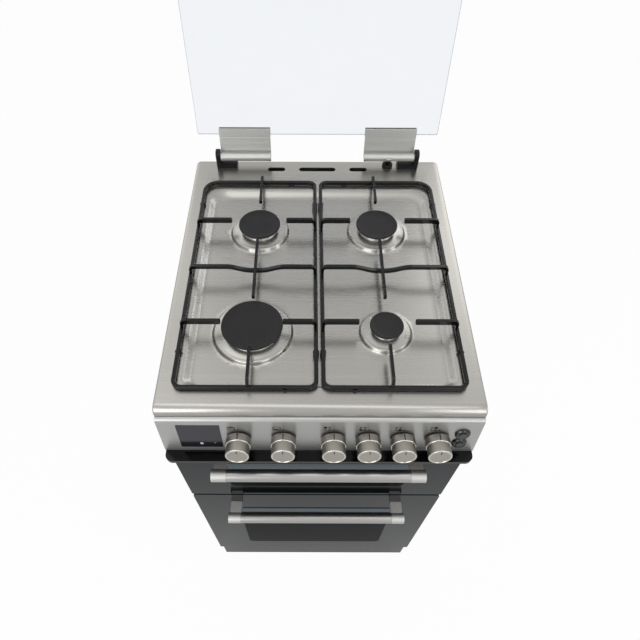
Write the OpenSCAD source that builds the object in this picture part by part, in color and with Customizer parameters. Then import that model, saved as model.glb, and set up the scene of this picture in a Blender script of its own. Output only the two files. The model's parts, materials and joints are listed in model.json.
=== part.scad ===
// Freestanding gas cooker with two ovens and a four-burner hob under a hinged glass lid.
// Millimetres. x is to the right seen from the front, y is to the back, z is up from the floor.
// The origin is on the floor, under the middle of the space that the cooker takes with its lid open.

/* [Body] */
// Overall width, which is the width of the hob
body_w = 500; // [480:5:600]
// From the hob's rear edge to the faces of the doors
body_depth = 600; // [560:5:640]
// Floor to the flat top of the hob
hob_z = 900; // [880:5:920]
// Height of the levelling feet under the base
foot_h = 40; // [25:1:60]
// Width across the two side panels is this much less on each side
side_inset = 1.5; // [1:0.1:4]
// Thickness of the steel sheet
sheet_t = 1.2; // [0.8:0.1:2]

/* [Hob] */
// Radius of the rolled front edge
roll_r = 14; // [8:0.5:16]
// How far the rolled edge stands behind the door faces
hob_front_in = 8; // [4:0.5:14]
// Depth of the turned-down edge
hob_skirt = 15.5; // [10:0.5:20]
// Radius of the rear corners in plan
hob_corner_r = 9; // [4:0.5:20]
// Depth of the spill well
well_depth = 8; // [4:0.5:12]
// Rim at each side of the well
well_side = 36; // [30:0.5:50]
// Rim behind the well
well_rear = 89; // [70:1:110]
// Rim in front of the well, up to the rolled edge
well_front = 27; // [15:1:40]
// Width of the well's slope at the sides
well_slope = 16; // [8:1:24]
// Width of the well's slope at the back
well_rear_slope = 23; // [8:1:30]
// Radius of the well's rear corners
well_rear_r = 30; // [16:1:40]
// Radius of the well's front corners
well_front_r = 18; // [10:1:30]
// Height of the raised seat round each burner
seat_h = 3; // [1:0.5:5]
// Width of a vent slot in the rear rim
vent_w = 12; // [6:0.5:14]
// Length of the middle vent slot
vent_mid_l = 75; // [50:1:100]
// Length of an outer vent slot
vent_side_l = 36; // [25:1:50]
// Middle of an outer vent slot from the centre line
vent_side_x = 84; // [75:1:90]
// Middle of the vent slots from the rear edge
vent_in = 27; // [20:0.5:35]

/* [Burners] */
// Burners from the centre line
burner_x = 108.8; // [100:0.2:115]
// Rear burners from the hob's rear edge
rear_row = 205; // [195:1:215]
// Front burners from the hob's rear edge
front_row = 440.5; // [430:0.5:450]
// Diameter of the large burner's cap
cap_large_d = 100; // [90:1:104]
// Diameter of a middle-sized burner's cap
cap_mid_d = 76.5; // [66:0.5:80]
// Diameter of the small burner's cap
cap_small_d = 55; // [50:1:60]
// Height of a cap's top over the hob
cap_top = 14; // [12:0.5:16]
// Thickness of a cap
cap_t = 3.5; // [3:0.5:6]
// How far a cap stands out round its crown
cap_overhang = 4.7; // [3:0.1:7]
// Width of the seat that shows round a cap
seat_ring = 17; // [10:0.5:20]
// Pitch of the flame slots round a crown
flame_pitch = 7.5; // [5:0.5:12]
// Width of a flame slot
flame_w = 2; // [1:0.1:3]

/* [Pan supports] */
// Width of the frame bar
bar_w = 6.5; // [5:0.5:8]
// Height of the frame bar
bar_h = 8; // [6:0.5:9]
// Edge radius of the frame bar
bar_edge_r = 2; // [1:0.1:2.4]
// Top of the frame bar over the hob
bar_top = 9.5; // [9:0.5:12]
// Top of the fingers over the hob
finger_top = 26; // [22:0.5:28]
// Height of a finger
finger_h = 9; // [7:0.5:10]
// Thickness of a finger
finger_t = 5; // [4:0.5:6]
// Finger tips from the middle of a large or middle-sized burner
finger_tip = 50; // [44:0.5:54]
// Finger tips from the middle of the small burner
finger_tip_small = 45; // [34:0.5:48]
// Side of the bar that crosses between the burners
cross_s = 6; // [5:0.5:7]
// Outer side of a support from the centre line
support_out = 226; // [215:0.5:232]
// Inner side of a support from the centre line
support_in = 2.3; // [0.5:0.1:3]
// Rear side of the supports from the hob's rear edge
support_rear = 74; // [70:1:84]
// Front side of the supports from the hob's rear edge
support_front = 557; // [550:0.5:565]
// Radius of a support's rear outer corner
support_rear_r = 30; // [16:1:40]
// Radius of a support's other outside corners
support_r = 16; // [10:0.5:24]
// Diameter of a rubber foot
rubber_d = 11; // [9:0.5:14]

/* [Lid] */
// Width of the glass
glass_w = 480; // [450:2:490]
// From the hinge line to the free edge of the glass
lid_len = 556; // [530:1:565]
// Thickness of the lid's glass
lid_glass_t = 4; // [3:0.5:6]
// How far the open lid leans back, in degrees
lid_lean = 10; // [4:1:20]
// Hinge line from the hob's rear edge
lid_in = 14; // [11:0.5:20]
// Hinge line over the hob
lid_up = 20; // [18:0.5:24]
// Radius of the hinge barrel
barrel_r = 8.5; // [8:0.5:11]
// Radius of the hinge pin
lid_pin_r = 4; // [3:0.5:5]
// Length of a bracket along the hinge line
bracket_w = 102; // [80:1:120]
// Middle of a bracket from the centre line
bracket_x = 146; // [130:1:170]
// From the hinge line to the bracket's upper edge
bracket_len = 52; // [48:1:65]
// From the hinge line to the lower edge of the glass
glass_start = 40; // [34:1:44]
// Thickness of the bracket's leaf
leaf_t = 3.5; // [2.5:0.5:5]
// Leaf's front face behind the hinge line
leaf_back = 9; // [7:0.5:11]
// Travel of the gas shut-off pin that the lid works
plunger_travel = 3; // [2:0.5:4]
// Middle of the shut-off pin from the centre line
plunger_x = 145; // [120:1:160]
// Diameter of the collar round the shut-off pin
collar_d = 21; // [16:1:24]

/* [Control panel] */
// Height of the panel along its slope
panel_h = 85; // [75:1:95]
// How far the panel leans forward at its foot, in degrees
panel_lean = 7; // [0:0.5:12]
// Top of the panel under the hob's top
panel_drop = 16.3; // [16:0.1:24]
// Top of the panel's face behind the door faces
panel_in = 2; // [0:0.5:8]
// Diameter of a knob's skirt
skirt_d = 39.5; // [36:0.5:44]
// Height of a knob's skirt over the panel
skirt_top = 17; // [12:0.5:22]
// Diameter of a knob's grip
grip_d = 36.6; // [30:0.2:38]
// Height of a knob's face over the panel
knob_top = 34.5; // [28:0.5:42]
// How far a knob is pushed in to turn it
knob_push = 3; // [2:0.5:4]
// Knobs from the panel's upper edge, along the slope
knob_down = 47.8; // [38:0.2:52]
// Distance between the right-hand knobs
knob_pitch = 54; // [48:0.5:58]
// First of the right-hand knobs from the centre line
knob_first = 21.9; // [10:0.1:30]
// Second knob from the left, from the centre line
knob_left_in = 56; // [48:1:62]
// First knob from the left, from the centre line
knob_left_out = 126; // [116:1:132]
// Radius of a tap's spindle
spindle_r = 4; // [3:0.5:5]
// Width of the timer's glass
timer_w = 67; // [50:1:72]
// Height of the timer's glass
timer_h = 60; // [40:1:70]
// Middle of the timer from the centre line
timer_x = 186.5; // [180:0.5:200]
// Middle of the timer from the panel's upper edge
timer_down = 44; // [40:0.5:48]
// Diameter of a push button's bezel
bezel_d = 24; // [16:0.5:24]
// Diameter of a push button
button_d = 12; // [9:0.5:16]
// Travel of a push button
button_travel = 3; // [2:0.5:4]
// Push buttons from the centre line
button_x = 221; // [214:0.5:226]
// Upper push button from the panel's upper edge
button_down = 34; // [24:0.5:36]
// Distance between the push buttons
button_pitch = 25; // [24.5:0.5:30]

/* [Doors] */
// Thickness of a closed door
door_t = 30; // [28:1:40]
// Gap between a door and the front frame
door_back_gap = 3; // [2.5:0.1:6]
// Width of a door is this much less than the body on each side
door_inset = 1; // [0.5:0.5:4]
// Height of the upper door
upper_door_h = 222; // [200:1:240]
// Height of the lower door
lower_door_h = 410; // [380:1:430]
// Gap between the two doors, and between the lower door and the plinth
door_gap = 6; // [5:0.5:9]
// Gap between the upper door and the ledge over it
door_top_gap = 4; // [3:0.5:8]
// Thickness of a door's glass
door_glass_t = 4; // [3:0.5:6]
// Radius of the lower door's upper corners
door_corner_r = 8; // [3:0.5:15]
// Radius of a door's other corners
door_small_r = 3; // [1:0.5:8]
// Door hinge line behind the door's face and over its lower edge
door_pin_in = 10; // [10:0.5:12]
// Width of a door's window
window_w = 330; // [280:5:360]
// Diameter of a handle bar
handle_d = 22; // [18:0.5:26]
// Length of a handle over its ends
handle_l = 359; // [320:1:420]
// Length of a handle's end piece
handle_end_l = 25.5; // [20:0.5:30]
// Height of the arm that carries a handle
handle_arm_h = 13; // [9:0.5:18]
// Middle of a handle bar in front of the door's face
handle_out = 32; // [28:0.5:42]
// Upper handle under the door's upper edge
upper_handle_down = 40; // [30:1:60]
// Lower handle under the door's upper edge
lower_handle_down = 47; // [30:1:60]

/* [Ledge] */
// Thickness of the ledge between the panel and the upper door
ledge_t = 7; // [5:0.5:10]
// How far the ledge stands in front of the doors
ledge_out = 28; // [15:1:34]
// Ledge's ends in from the body's sides
ledge_in = 2.5; // [0:0.5:5]
// Radius of the ledge's front corners
ledge_r = 12; // [5:1:24]

/* [Ovens] */
// Inside width of both ovens
oven_w = 390; // [350:5:410]
// Inside depth of the upper oven
upper_oven_depth = 400; // [350:5:430]
// Inside height of the upper oven
upper_oven_h = 150; // [130:2:160]
// Upper oven's floor over the lower edge of its door
upper_oven_up = 34; // [28:1:40]
// Inside depth of the lower oven
lower_oven_depth = 420; // [380:5:440]
// Inside height of the lower oven
lower_oven_h = 300; // [270:5:310]
// Lower oven's floor over the lower edge of its door
lower_oven_up = 45; // [40:1:55]
// Diameter of a shelf's frame wire
shelf_wire_d = 6; // [5:0.5:7]
// Diameter of a shelf's cross wire
shelf_bar_d = 4; // [3:0.5:4.5]
// Distance between a shelf's cross wires
shelf_pitch = 28; // [18:1:40]
// Depth of the grill pan
grill_pan_h = 25; // [15:1:28]

/* [Hidden] */

// Shared clearances and overrun
overrun = 1;
run_fit = 0.06;
seat_gap = 0.3;
fine = 64;
coarse = 32;

// Places in depth: the open lid stands out behind, the handles in front
handle_reach = handle_out + handle_d / 2;
clamp_t = 2.5;
glass_back = leaf_back + leaf_t + lid_glass_t;
lid_reach = lid_len * sin(lid_lean) + glass_back * cos(lid_lean) - lid_in;
rear_y = (body_depth + handle_reach - lid_reach) / 2;
face_y = rear_y - body_depth;
frame_y = face_y + door_t + door_back_gap;
hob_front_y = face_y + hob_front_in;

// Places in width
half_w = body_w / 2;
side_x = half_w - side_inset;
side_in_x = side_x - sheet_t;
door_half = half_w - door_inset;

// Places in height, from the hob down
panel_top_z = hob_z - panel_drop;
panel_foot_z = panel_top_z - panel_h * cos(panel_lean);
panel_foot_y = face_y + panel_in - panel_h * sin(panel_lean);
ledge_top_z = panel_foot_z - seat_gap;
ledge_low_z = ledge_top_z - ledge_t;
upper_top_z = ledge_low_z - door_top_gap;
upper_low_z = upper_top_z - upper_door_h;
lower_top_z = upper_low_z - door_gap;
lower_low_z = lower_top_z - lower_door_h;
plinth_top_z = lower_low_z - door_gap;
upper_floor_z = upper_low_z + upper_oven_up;
lower_floor_z = lower_low_z + lower_oven_up;
well_z = hob_z - well_depth;
seat_z = well_z + seat_h;
cap_low_z = hob_z + cap_top - cap_t;

// Burners: side, distance from the rear edge, cap diameter, finger tips from the middle
burners = [
    [-burner_x, front_row, cap_large_d, finger_tip],
    [burner_x, front_row, cap_small_d, finger_tip_small],
    [-burner_x, rear_row, cap_mid_d, finger_tip],
    [burner_x, rear_row, cap_mid_d, finger_tip]
];

// Knob places, from the left
knob_xs = [
    -knob_left_out, -knob_left_in, knob_first, knob_first + knob_pitch,
    knob_first + 2 * knob_pitch, knob_first + 3 * knob_pitch
];

function ry(d) = rear_y - d;
function arc(cx, cy, r, a0, a1, n = 8) =
    [for (i = [0:n]) [cx + r * cos(a0 + (a1 - a0) * i / n), cy + r * sin(a0 + (a1 - a0) * i / n)]];

// A flat outline with its own radius at each corner: low left, low right, high right, high left
module outline(x0, x1, y0, y1, r) {
    polygon([
        [x0 + r[0], y0], [x1 - r[1], y0], [x1, y0 + r[1]], [x1, y1 - r[2]],
        [x1 - r[2], y1], [x0 + r[3], y1], [x0, y1 - r[3]], [x0, y0 + r[0]]
    ]);
    translate([x0 + r[0], y0 + r[0]]) circle(r[0], $fn = fine);
    translate([x1 - r[1], y0 + r[1]]) circle(r[1], $fn = fine);
    translate([x1 - r[2], y1 - r[2]]) circle(r[2], $fn = fine);
    translate([x0 + r[3], y1 - r[3]]) circle(r[3], $fn = fine);
}

// A block between two corners
module block(a, b) {
    translate(a) cube(b - a);
}

// A slot outline along x
module slot(l, w) {
    square([l - w, w], center = true);
    for (s = [-1, 1]) translate([s * (l - w) / 2, 0]) circle(w / 2, $fn = coarse);
}

// Stands a y-z profile up and runs it along x
module along_x(x0, x1) {
    translate([x0, 0, 0]) rotate([90, 0, 90]) linear_extrude(x1 - x0) children();
}

// Stands an x-z outline up, from y0 to y1
module upright(y0, y1) {
    translate([0, y1, 0]) rotate([90, 0, 0]) linear_extrude(y1 - y0) children();
}

// Puts its children on the panel's face: z is out of the panel, y is up its slope
module on_panel(x, down) {
    translate([
        x, face_y + panel_in - down * sin(panel_lean), panel_top_z - down * cos(panel_lean)
    ]) rotate([90 - panel_lean, 0, 0]) children();
}

// Puts its children at the lid's hinge line: z is up the open lid, y is out of its back
module on_lid() {
    translate([0, ry(lid_in), hob_z + lid_up]) rotate([-lid_lean, 0, 0]) children();
}

// Body shell
flange_w = 18;
side_top_z = hob_z - sheet_t;
side_low_z = foot_h + sheet_t;
side_front_y = frame_y + sheet_t;
rear_in_y = rear_y - sheet_t;

module corner_notch(s) {
    n = hob_corner_r + overrun;
    x = s < 0 ? -half_w : half_w - n;
    block([x, rear_y - n, skirt_low_z - seat_gap], [x + n, rear_y, hob_z]);
}

module side_panel(s) {
    color("lightslategray") difference() {
        union() {
            x0 = s < 0 ? -side_x : side_in_x;
            block([x0, side_front_y, side_low_z], [x0 + sheet_t, rear_in_y - sheet_t, side_top_z]);
            f0 = s < 0 ? -side_in_x : side_in_x - flange_w;
            block([f0, side_front_y, side_low_z], [f0 + flange_w, side_front_y + sheet_t, side_top_z]);
            block([f0, rear_in_y - 2 * sheet_t, side_low_z],
                  [f0 + flange_w, rear_in_y - sheet_t, side_top_z]);
        }
        corner_notch(s);
    }
}

// Rear panel with rows of vent slots and a hole for the gas inlet
louvre_l = 60;
louvre_w = 6;
louvre_pitch = 18;
louvre_rows = 8;
louvre_x = 90;
louvre_low_share = 0.52;
inlet_from_side = 42;
inlet_x = side_in_x - inlet_from_side;
inlet_r = 10.5;
pipe_r = 7.5;

module rear_panel() {
    low = side_low_z;
    color("silver") difference() {
        upright(rear_in_y - sheet_t, rear_in_y)
            difference() {
                outline(-side_x, side_x, low, side_top_z, [for (i = [0:3]) door_small_r]);
                for (i = [0:louvre_rows - 1], s = [-1, 1])
                    translate([s * louvre_x, hob_z * louvre_low_share + i * louvre_pitch])
                        slot(louvre_l, louvre_w);
                translate([inlet_x, inlet_z]) circle(pipe_r + seat_gap, $fn = fine);
            }
        for (s = [-1, 1]) corner_notch(s);
    }
}

// Base tray with turned-up edges, and the four feet screwed into it
foot_d = 34;
foot_pad_h = 10;
foot_stem_r = 6;
foot_in = 45;
tray_lip = 28;

module base_tray() {
    y0 = side_front_y + sheet_t;
    y1 = rear_in_y - 2 * sheet_t;
    color("dimgray") difference() {
        block([-side_in_x, y0, foot_h], [side_in_x, y1, foot_h + tray_lip]);
        block([-side_in_x + sheet_t, y0 + sheet_t, foot_h + sheet_t],
              [side_in_x - sheet_t, y1 - sheet_t, foot_h + tray_lip + overrun]);
        for (x = [-1, 1], y = [frame_y + foot_in, rear_y - foot_in])
            translate([x * (side_x - foot_in), y, foot_h - overrun])
                cylinder(h = sheet_t + 2 * overrun, r = foot_stem_r + run_fit, $fn = fine);
    }
}

module levelling_feet() {
    color("black")
        for (x = [-1, 1], y = [frame_y + foot_in, rear_y - foot_in])
            translate([x * (side_x - foot_in), y, 0]) {
                cylinder(h = foot_pad_h, d1 = foot_d - foot_pad_h / 2, d2 = foot_d, $fn = fine);
                cylinder(h = foot_h + tray_lip / 2, r = foot_stem_r, $fn = fine);
                translate([0, 0, foot_h - foot_pad_h]) cylinder(h = foot_pad_h, r = foot_stem_r * 2, $fn = 6);
            }
}

// Plinth under the lower door
plinth_back = 12;

module plinth() {
    color("silver") difference() {
        block([-side_x, face_y + plinth_back, foot_h], [side_x, frame_y, plinth_top_z]);
        block([-side_x + sheet_t, face_y + plinth_back + sheet_t, foot_h - overrun],
              [side_x - sheet_t, frame_y + overrun, plinth_top_z - sheet_t]);
    }
}

// Front frame, the enamelled plate that the doors close against
frame_t = sheet_t;
hinge_from_side = 34;
hinge_x = side_x - hinge_from_side;
arm_t = 8;
door_pins = [upper_low_z + door_pin_in, lower_low_z + door_pin_in];

module front_frame() {
    color("dimgray") upright(frame_y, frame_y + frame_t) difference() {
        outline(-side_x, side_x, foot_h + sheet_t, ledge_low_z, [for (i = [0:3]) door_small_r]);
        outline(-oven_w / 2, oven_w / 2, upper_floor_z, upper_floor_z + upper_oven_h,
                [for (i = [0:3]) cavity_r]);
        outline(-oven_w / 2, oven_w / 2, lower_floor_z, lower_floor_z + lower_oven_h,
                [for (i = [0:3]) cavity_r]);
    }
}

// Oven liners, open at the front, with pressed shelf ribs
cavity_r = 14;
rib_h = 6;
rib_out = 7;
rib_gap = 12;
lip_w = 16;
upper_rib_shares = [0.16, 0.52];
lower_rib_shares = [0.24, 0.46, 0.68];

module liner(floor_z, h, depth, shares) {
    y0 = frame_y + frame_t;
    rs = [for (i = [0:3]) cavity_r];
    rl = [for (i = [0:3]) cavity_r + sheet_t];
    difference() {
        union() {
            upright(y0, y0 + depth + sheet_t)
                outline(-oven_w / 2 - sheet_t, oven_w / 2 + sheet_t,
                        floor_z - sheet_t, floor_z + h + sheet_t, rl);
            upright(y0, y0 + sheet_t)
                outline(-oven_w / 2 - lip_w, oven_w / 2 + lip_w, floor_z - lip_w, floor_z + h + lip_w, rl);
        }
        upright(y0 - overrun, y0 + depth) outline(-oven_w / 2, oven_w / 2, floor_z, floor_z + h, rs);
    }
    for (s = [-1, 1], k = shares, up = [0, 1]) {
        z = floor_z + h * k + up * (rib_h + rib_gap);
        x0 = s < 0 ? -oven_w / 2 - sheet_t / 2 : oven_w / 2 - rib_out;
        block([x0, y0 + cavity_r, z], [x0 + rib_out + sheet_t / 2, y0 + depth - cavity_r, z + rib_h]);
    }
}

module upper_cavity() {
    color("#3a3f46") liner(upper_floor_z, upper_oven_h, upper_oven_depth, upper_rib_shares);
}

module lower_cavity() {
    color("#3a3f46") liner(lower_floor_z, lower_oven_h, lower_oven_depth, lower_rib_shares);
}

// Hob: one pressing with a rolled front, turned-down edges and a spill well
hob_t = sheet_t;
well_x = half_w - well_side;
well_back_y = ry(well_rear);
roll_y = hob_front_y + roll_r;
well_front_y = roll_y + well_front;
skirt_low_z = hob_z - hob_skirt;
seat_slope = 6;
hole_clear = 2;

module well_shape(grow) {
    hull() {
        translate([0, 0, hob_z - sheet_t / 2 + overrun]) linear_extrude(sheet_t / 2)
            outline(-well_x - grow, well_x + grow, well_front_y - grow, well_back_y + grow,
                    [well_front_r, well_front_r, well_rear_r, well_rear_r]);
        translate([0, 0, well_z - grow]) linear_extrude(sheet_t / 2)
            outline(-well_x + well_slope - grow, well_x - well_slope + grow,
                    well_front_y + well_slope / 2 - grow, well_back_y - well_rear_slope + grow,
                    [well_front_r, well_front_r, well_rear_r, well_rear_r]);
    }
}

// A plan with square front corners and rounded rear ones
module rear_rounded(hw, y0, y1, r) {
    translate([-hw, y0]) square([2 * hw, y1 - r - y0]);
    translate([-hw + r, y0]) square([2 * (hw - r), y1 - y0]);
    for (s = [-1, 1]) translate([s * (hw - r), y1 - r]) circle(r, $fn = fine);
}

// Section through the rolled front, inset by the sheet for its inside
module roll_section(inset) {
    back = inset > 0 ? overrun : 0;
    low = skirt_low_z - back;
    polygon(concat(
        [[roll_y + back, low], [roll_y + back, hob_z - inset]],
        arc(roll_y, hob_z - roll_r, roll_r - inset, 90, 180, 12),
        [[hob_front_y + inset, low]]
    ));
}

module hob_sheet() {
    difference() {
        translate([0, 0, skirt_low_z]) linear_extrude(hob_skirt)
            rear_rounded(half_w, roll_y, rear_y, hob_corner_r);
        translate([0, 0, skirt_low_z - overrun]) linear_extrude(hob_skirt + overrun - hob_t)
            rear_rounded(half_w - hob_t, roll_y - overrun, rear_y - hob_t, hob_corner_r - hob_t);
    }
    along_x(-half_w, half_w) difference() {
        roll_section(0);
        roll_section(hob_t);
    }
    for (x = [-half_w, half_w - hob_t]) along_x(x, x + hob_t) roll_section(0);
    intersection() {
        well_shape(hob_t);
        block([-half_w, hob_front_y, skirt_low_z], [half_w, rear_y, hob_z]);
    }
}

module hob_top() {
    color("silver") difference() {
        union() {
            difference() {
                hob_sheet();
                well_shape(0);
            }
            for (b = burners) translate([b[0], ry(b[1]), well_z - hob_t / 2])
                cylinder(h = seat_h + hob_t / 2, r1 = b[2] / 2 + seat_ring,
                         r2 = b[2] / 2 + seat_ring - seat_slope, $fn = fine);
        }
        for (b = burners) translate([b[0], ry(b[1]), skirt_low_z - overrun])
            cylinder(h = hob_skirt + overrun, r = crown_r(b) - hole_clear, $fn = fine);
        translate([0, ry(vent_in), skirt_low_z]) linear_extrude(hob_skirt + overrun) {
            slot(vent_mid_l, vent_w);
            for (s = [-1, 1]) translate([s * vent_side_x, 0]) slot(vent_side_l, vent_w);
        }
        translate([plunger_x, ry(lid_in), skirt_low_z])
            cylinder(h = hob_skirt + overrun, r = plunger_r + seat_gap, $fn = fine);
    }
}

// Burners: a cup under the hob, a slotted crown and a flat cap
function crown_r(b) = b[2] / 2 - cap_overhang;
cup_h = 34;
cup_wall = 3;
cup_flange = 1.5;
cup_rim = 2.5;
crown_wall = 5;
crown_band = 8;
crown_taper = 3.5;
crown_floor = 2;

module burner_cups() {
    color("lightgray") for (b = burners) translate([b[0], ry(b[1]), 0]) {
        r = crown_r(b) - hole_clear - seat_gap;
        difference() {
            union() {
                translate([0, 0, seat_z]) cylinder(h = cup_flange, r = crown_r(b) + cup_rim, $fn = fine);
                translate([0, 0, well_z - cup_h]) cylinder(h = cup_h + seat_h + cup_flange, r = r, $fn = fine);
            }
            translate([0, 0, well_z - cup_h + cup_wall])
                cylinder(h = cup_h + hob_skirt, r = r - cup_wall, $fn = fine);
        }
    }
}

module burner_crowns() {
    z0 = seat_z + cup_flange;
    color("gainsboro") for (b = burners) translate([b[0], ry(b[1]), z0]) {
        r = crown_r(b);
        h = cap_low_z - z0;
        n = floor(2 * PI * r / flame_pitch);
        difference() {
            rotate_extrude($fn = fine) polygon([
                [0, 0], [r - crown_taper, 0], [r, h - crown_band], [r, h], [0, h]
            ]);
            translate([0, 0, crown_floor]) cylinder(h = h, r = r - crown_wall - crown_taper, $fn = fine);
            translate([0, 0, -overrun]) cylinder(h = h, r = r / 3, $fn = fine);
            for (i = [0:n - 1]) rotate([0, 0, (i + 0.5) * 360 / n])
                translate([r - crown_wall - crown_taper - overrun, -flame_w / 2, h - crown_wall])
                    cube([crown_wall + crown_taper + 2 * overrun, flame_w, h]);
        }
    }
}

cap_edge_r = 1.5;
cap_dish = 0.6;

module burner_caps() {
    color("#2e2d30") for (b = burners) translate([b[0], ry(b[1]), cap_low_z]) {
        r = b[2] / 2;
        rotate_extrude($fn = 128) polygon(concat(
            [[0, 0], [r - cap_edge_r, 0]],
            arc(r - cap_edge_r, cap_edge_r, cap_edge_r, -90, 0, 4),
            arc(r - cap_edge_r, cap_t - cap_edge_r, cap_edge_r, 0, 90, 6),
            [[r - 2 * cap_edge_r, cap_t], [r - 3 * cap_edge_r, cap_t - cap_dish], [0, cap_t - cap_dish]]
        ));
    }
}

// A spark electrode and a flame probe stand in the seat beside each crown
electrode_r = 1.6;
electrode_sleeve_r = 3;
electrode_sleeve_h = 4;
electrode_out = 0.6;
electrode_turns = [35, 145];

module electrodes() {
    color("whitesmoke") for (b = burners, a = electrode_turns) {
        r = crown_r(b) + cup_rim + electrode_out + electrode_sleeve_r;
        translate([b[0] + r * cos(a), ry(b[1]) + r * sin(a), seat_z]) {
            cylinder(h = electrode_sleeve_h, r = electrode_sleeve_r, $fn = coarse);
            cylinder(h = cap_low_z - seat_z - electrode_out, r = electrode_r, $fn = coarse);
        }
    }
}

// Flue: a flat duct from the ovens' backs up to the slots in the hob's rear rim
flue_w = 210;
flue_d = 34;
flue_up = 40;

module flue_duct() {
    y1 = rear_in_y - sheet_t - seat_gap;
    low = upper_floor_z - flue_up;
    high = hob_z - hob_t - seat_gap;
    color("slategray") difference() {
        block([-flue_w / 2, y1 - flue_d, low], [flue_w / 2, y1, high]);
        block([-flue_w / 2 + sheet_t, y1 - flue_d + sheet_t, low - overrun],
              [flue_w / 2 - sheet_t, y1 - sheet_t, high + overrun]);
    }
}

// Pan supports: a closed frame of square bar, fingers over it and a bar that dips under the middle finger
bar_z = hob_z + bar_top - bar_h / 2;
finger_nose = 2;
finger_foot = 2;
finger_bend = 9;
finger_heel = 4;
wave_steps = 20;
dip_half = 50;
dip_flat = 8;

module bar_section() {
    outline(-bar_w / 2, bar_w / 2, -bar_h / 2, bar_h / 2, [for (i = [0:3]) bar_edge_r]);
}

module bar_line(p, q) {
    d = q - p;
    l = norm(d);
    translate([p[0], p[1], bar_z]) rotate([0, 0, atan2(d[1], d[0])]) rotate([90, 0, 90])
        linear_extrude(l) bar_section();
}

module bar_corner(cx, cy, r, a0) {
    translate([cx, cy, bar_z]) rotate([0, 0, a0]) rotate_extrude(angle = 90, $fn = fine)
        translate([r, 0]) bar_section();
}

// A finger rises from the frame bar, bends over and runs to its tip
module finger(l) {
    top = hob_z + finger_top;
    low = top - finger_h;
    rotate([90, 0, 0]) translate([0, 0, -finger_t / 2]) linear_extrude(finger_t) polygon(concat(
        [[finger_foot, bar_z]],
        arc(finger_foot + finger_bend, top - finger_bend, finger_bend, 180, 90, 8),
        arc(l - finger_nose, top - finger_nose, finger_nose, 90, 0, 4),
        arc(l - finger_nose, low + finger_nose, finger_nose, 0, -90, 4),
        arc(bar_w + finger_heel, low - finger_heel, finger_heel, 90, 180, 4),
        [[bar_w, bar_z]]
    ));
}

// How far the crossing bar has dipped at x, as a share of the whole dip
function dip_share(x) = let (d = abs(x - burner_x)) d < dip_flat ? 1 : d > dip_half ? 0 :
    (1 + cos(180 * (d - dip_flat) / (dip_half - dip_flat))) / 2;

module cross_bar(x0, x1, y) {
    top = hob_z + finger_top;
    low = top - cross_s;
    xs = [for (i = [0:wave_steps]) burner_x - dip_half + 2 * dip_half * i / wave_steps];
    upright(y - cross_s / 2, y + cross_s / 2) polygon(concat(
        [[x0 + finger_foot, bar_z]],
        arc(x0 + finger_foot + finger_bend, top - finger_bend, finger_bend, 180, 90, 8),
        [for (x = xs) [x, top - finger_h * dip_share(x)]],
        arc(x1 - finger_foot - finger_bend, top - finger_bend, finger_bend, 90, 0, 8),
        [[x1 - finger_foot, bar_z], [x1 - bar_w, bar_z]],
        arc(x1 - bar_w - finger_heel, low - finger_heel, finger_heel, 0, 90, 4),
        [for (i = [wave_steps:-1:0]) [xs[i], low - finger_h * dip_share(xs[i])]],
        arc(x0 + bar_w + finger_heel, low - finger_heel, finger_heel, 90, 180, 4),
        [[x0 + bar_w, bar_z]]
    ));
}

module pan_support(s) {
    h = bar_w / 2;
    xi = support_in + h;
    xo = support_out - h;
    yr = ry(support_rear + h);
    yf = ry(support_front - h);
    rf = support_r - h;
    rr = support_rear_r - h;
    bs = [for (b = burners) if (b[0] * s > 0) b];
    fb = bs[0];
    rb = bs[1];
    color("#26282b") mirror([s < 0 ? 1 : 0, 0, 0]) {
        bar_line([xi + rf, yf], [xo - rf, yf]);
        bar_line([xo, yf + rf], [xo, yr - rr]);
        bar_line([xo - rr, yr], [xi + rf, yr]);
        bar_line([xi, yr - rf], [xi, yf + rf]);
        bar_corner(xi + rf, yf + rf, rf, 180);
        bar_corner(xo - rf, yf + rf, rf, 270);
        bar_corner(xo - rr, yr - rr, rr, 0);
        bar_corner(xi + rf, yr - rf, rf, 90);
        for (b = bs) {
            y = ry(b[1]);
            translate([xi - h, y, 0]) finger(burner_x - b[3] - xi + h);
            translate([xo + h, y, 0]) rotate([0, 0, 180]) finger(xo + h - burner_x - b[3]);
        }
        translate([burner_x, yr + h, 0]) rotate([0, 0, -90]) finger(yr + h - ry(rb[1]) - rb[3]);
        translate([burner_x, yf - h, 0]) rotate([0, 0, 90]) finger(ry(fb[1]) - fb[3] - yf + h);
        mid_finger(ry(rb[1]) - rb[3], ry(fb[1]) + finger_tip);
        cross_bar(xi - h, xo + h, (ry(rb[1]) + ry(fb[1])) / 2);
    }
}

module mid_finger(y_back, y_front) {
    top = hob_z + finger_top;
    low = top - finger_h;
    n = finger_nose;
    translate([burner_x - finger_t / 2, 0, 0]) rotate([90, 0, 90]) linear_extrude(finger_t) polygon(concat(
        arc(y_front + n, low + n, n, 180, 270, 4),
        arc(y_back - n, low + n, n, 270, 360, 4),
        arc(y_back - n, top - n, n, 0, 90, 4),
        arc(y_front + n, top - n, n, 90, 180, 4)
    ));
}

// Rubber boots on the frame bars; those of the inner bar reach down to the well's floor
rubber_front_x = 53;
rubber_side_shares = [0.13, 0.86];
rubber_well_in = 64;
rubber_grip = 3;
rubber_wall = 1.75;
rubber_inner_d = bar_w + 2 * rubber_wall;

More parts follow.
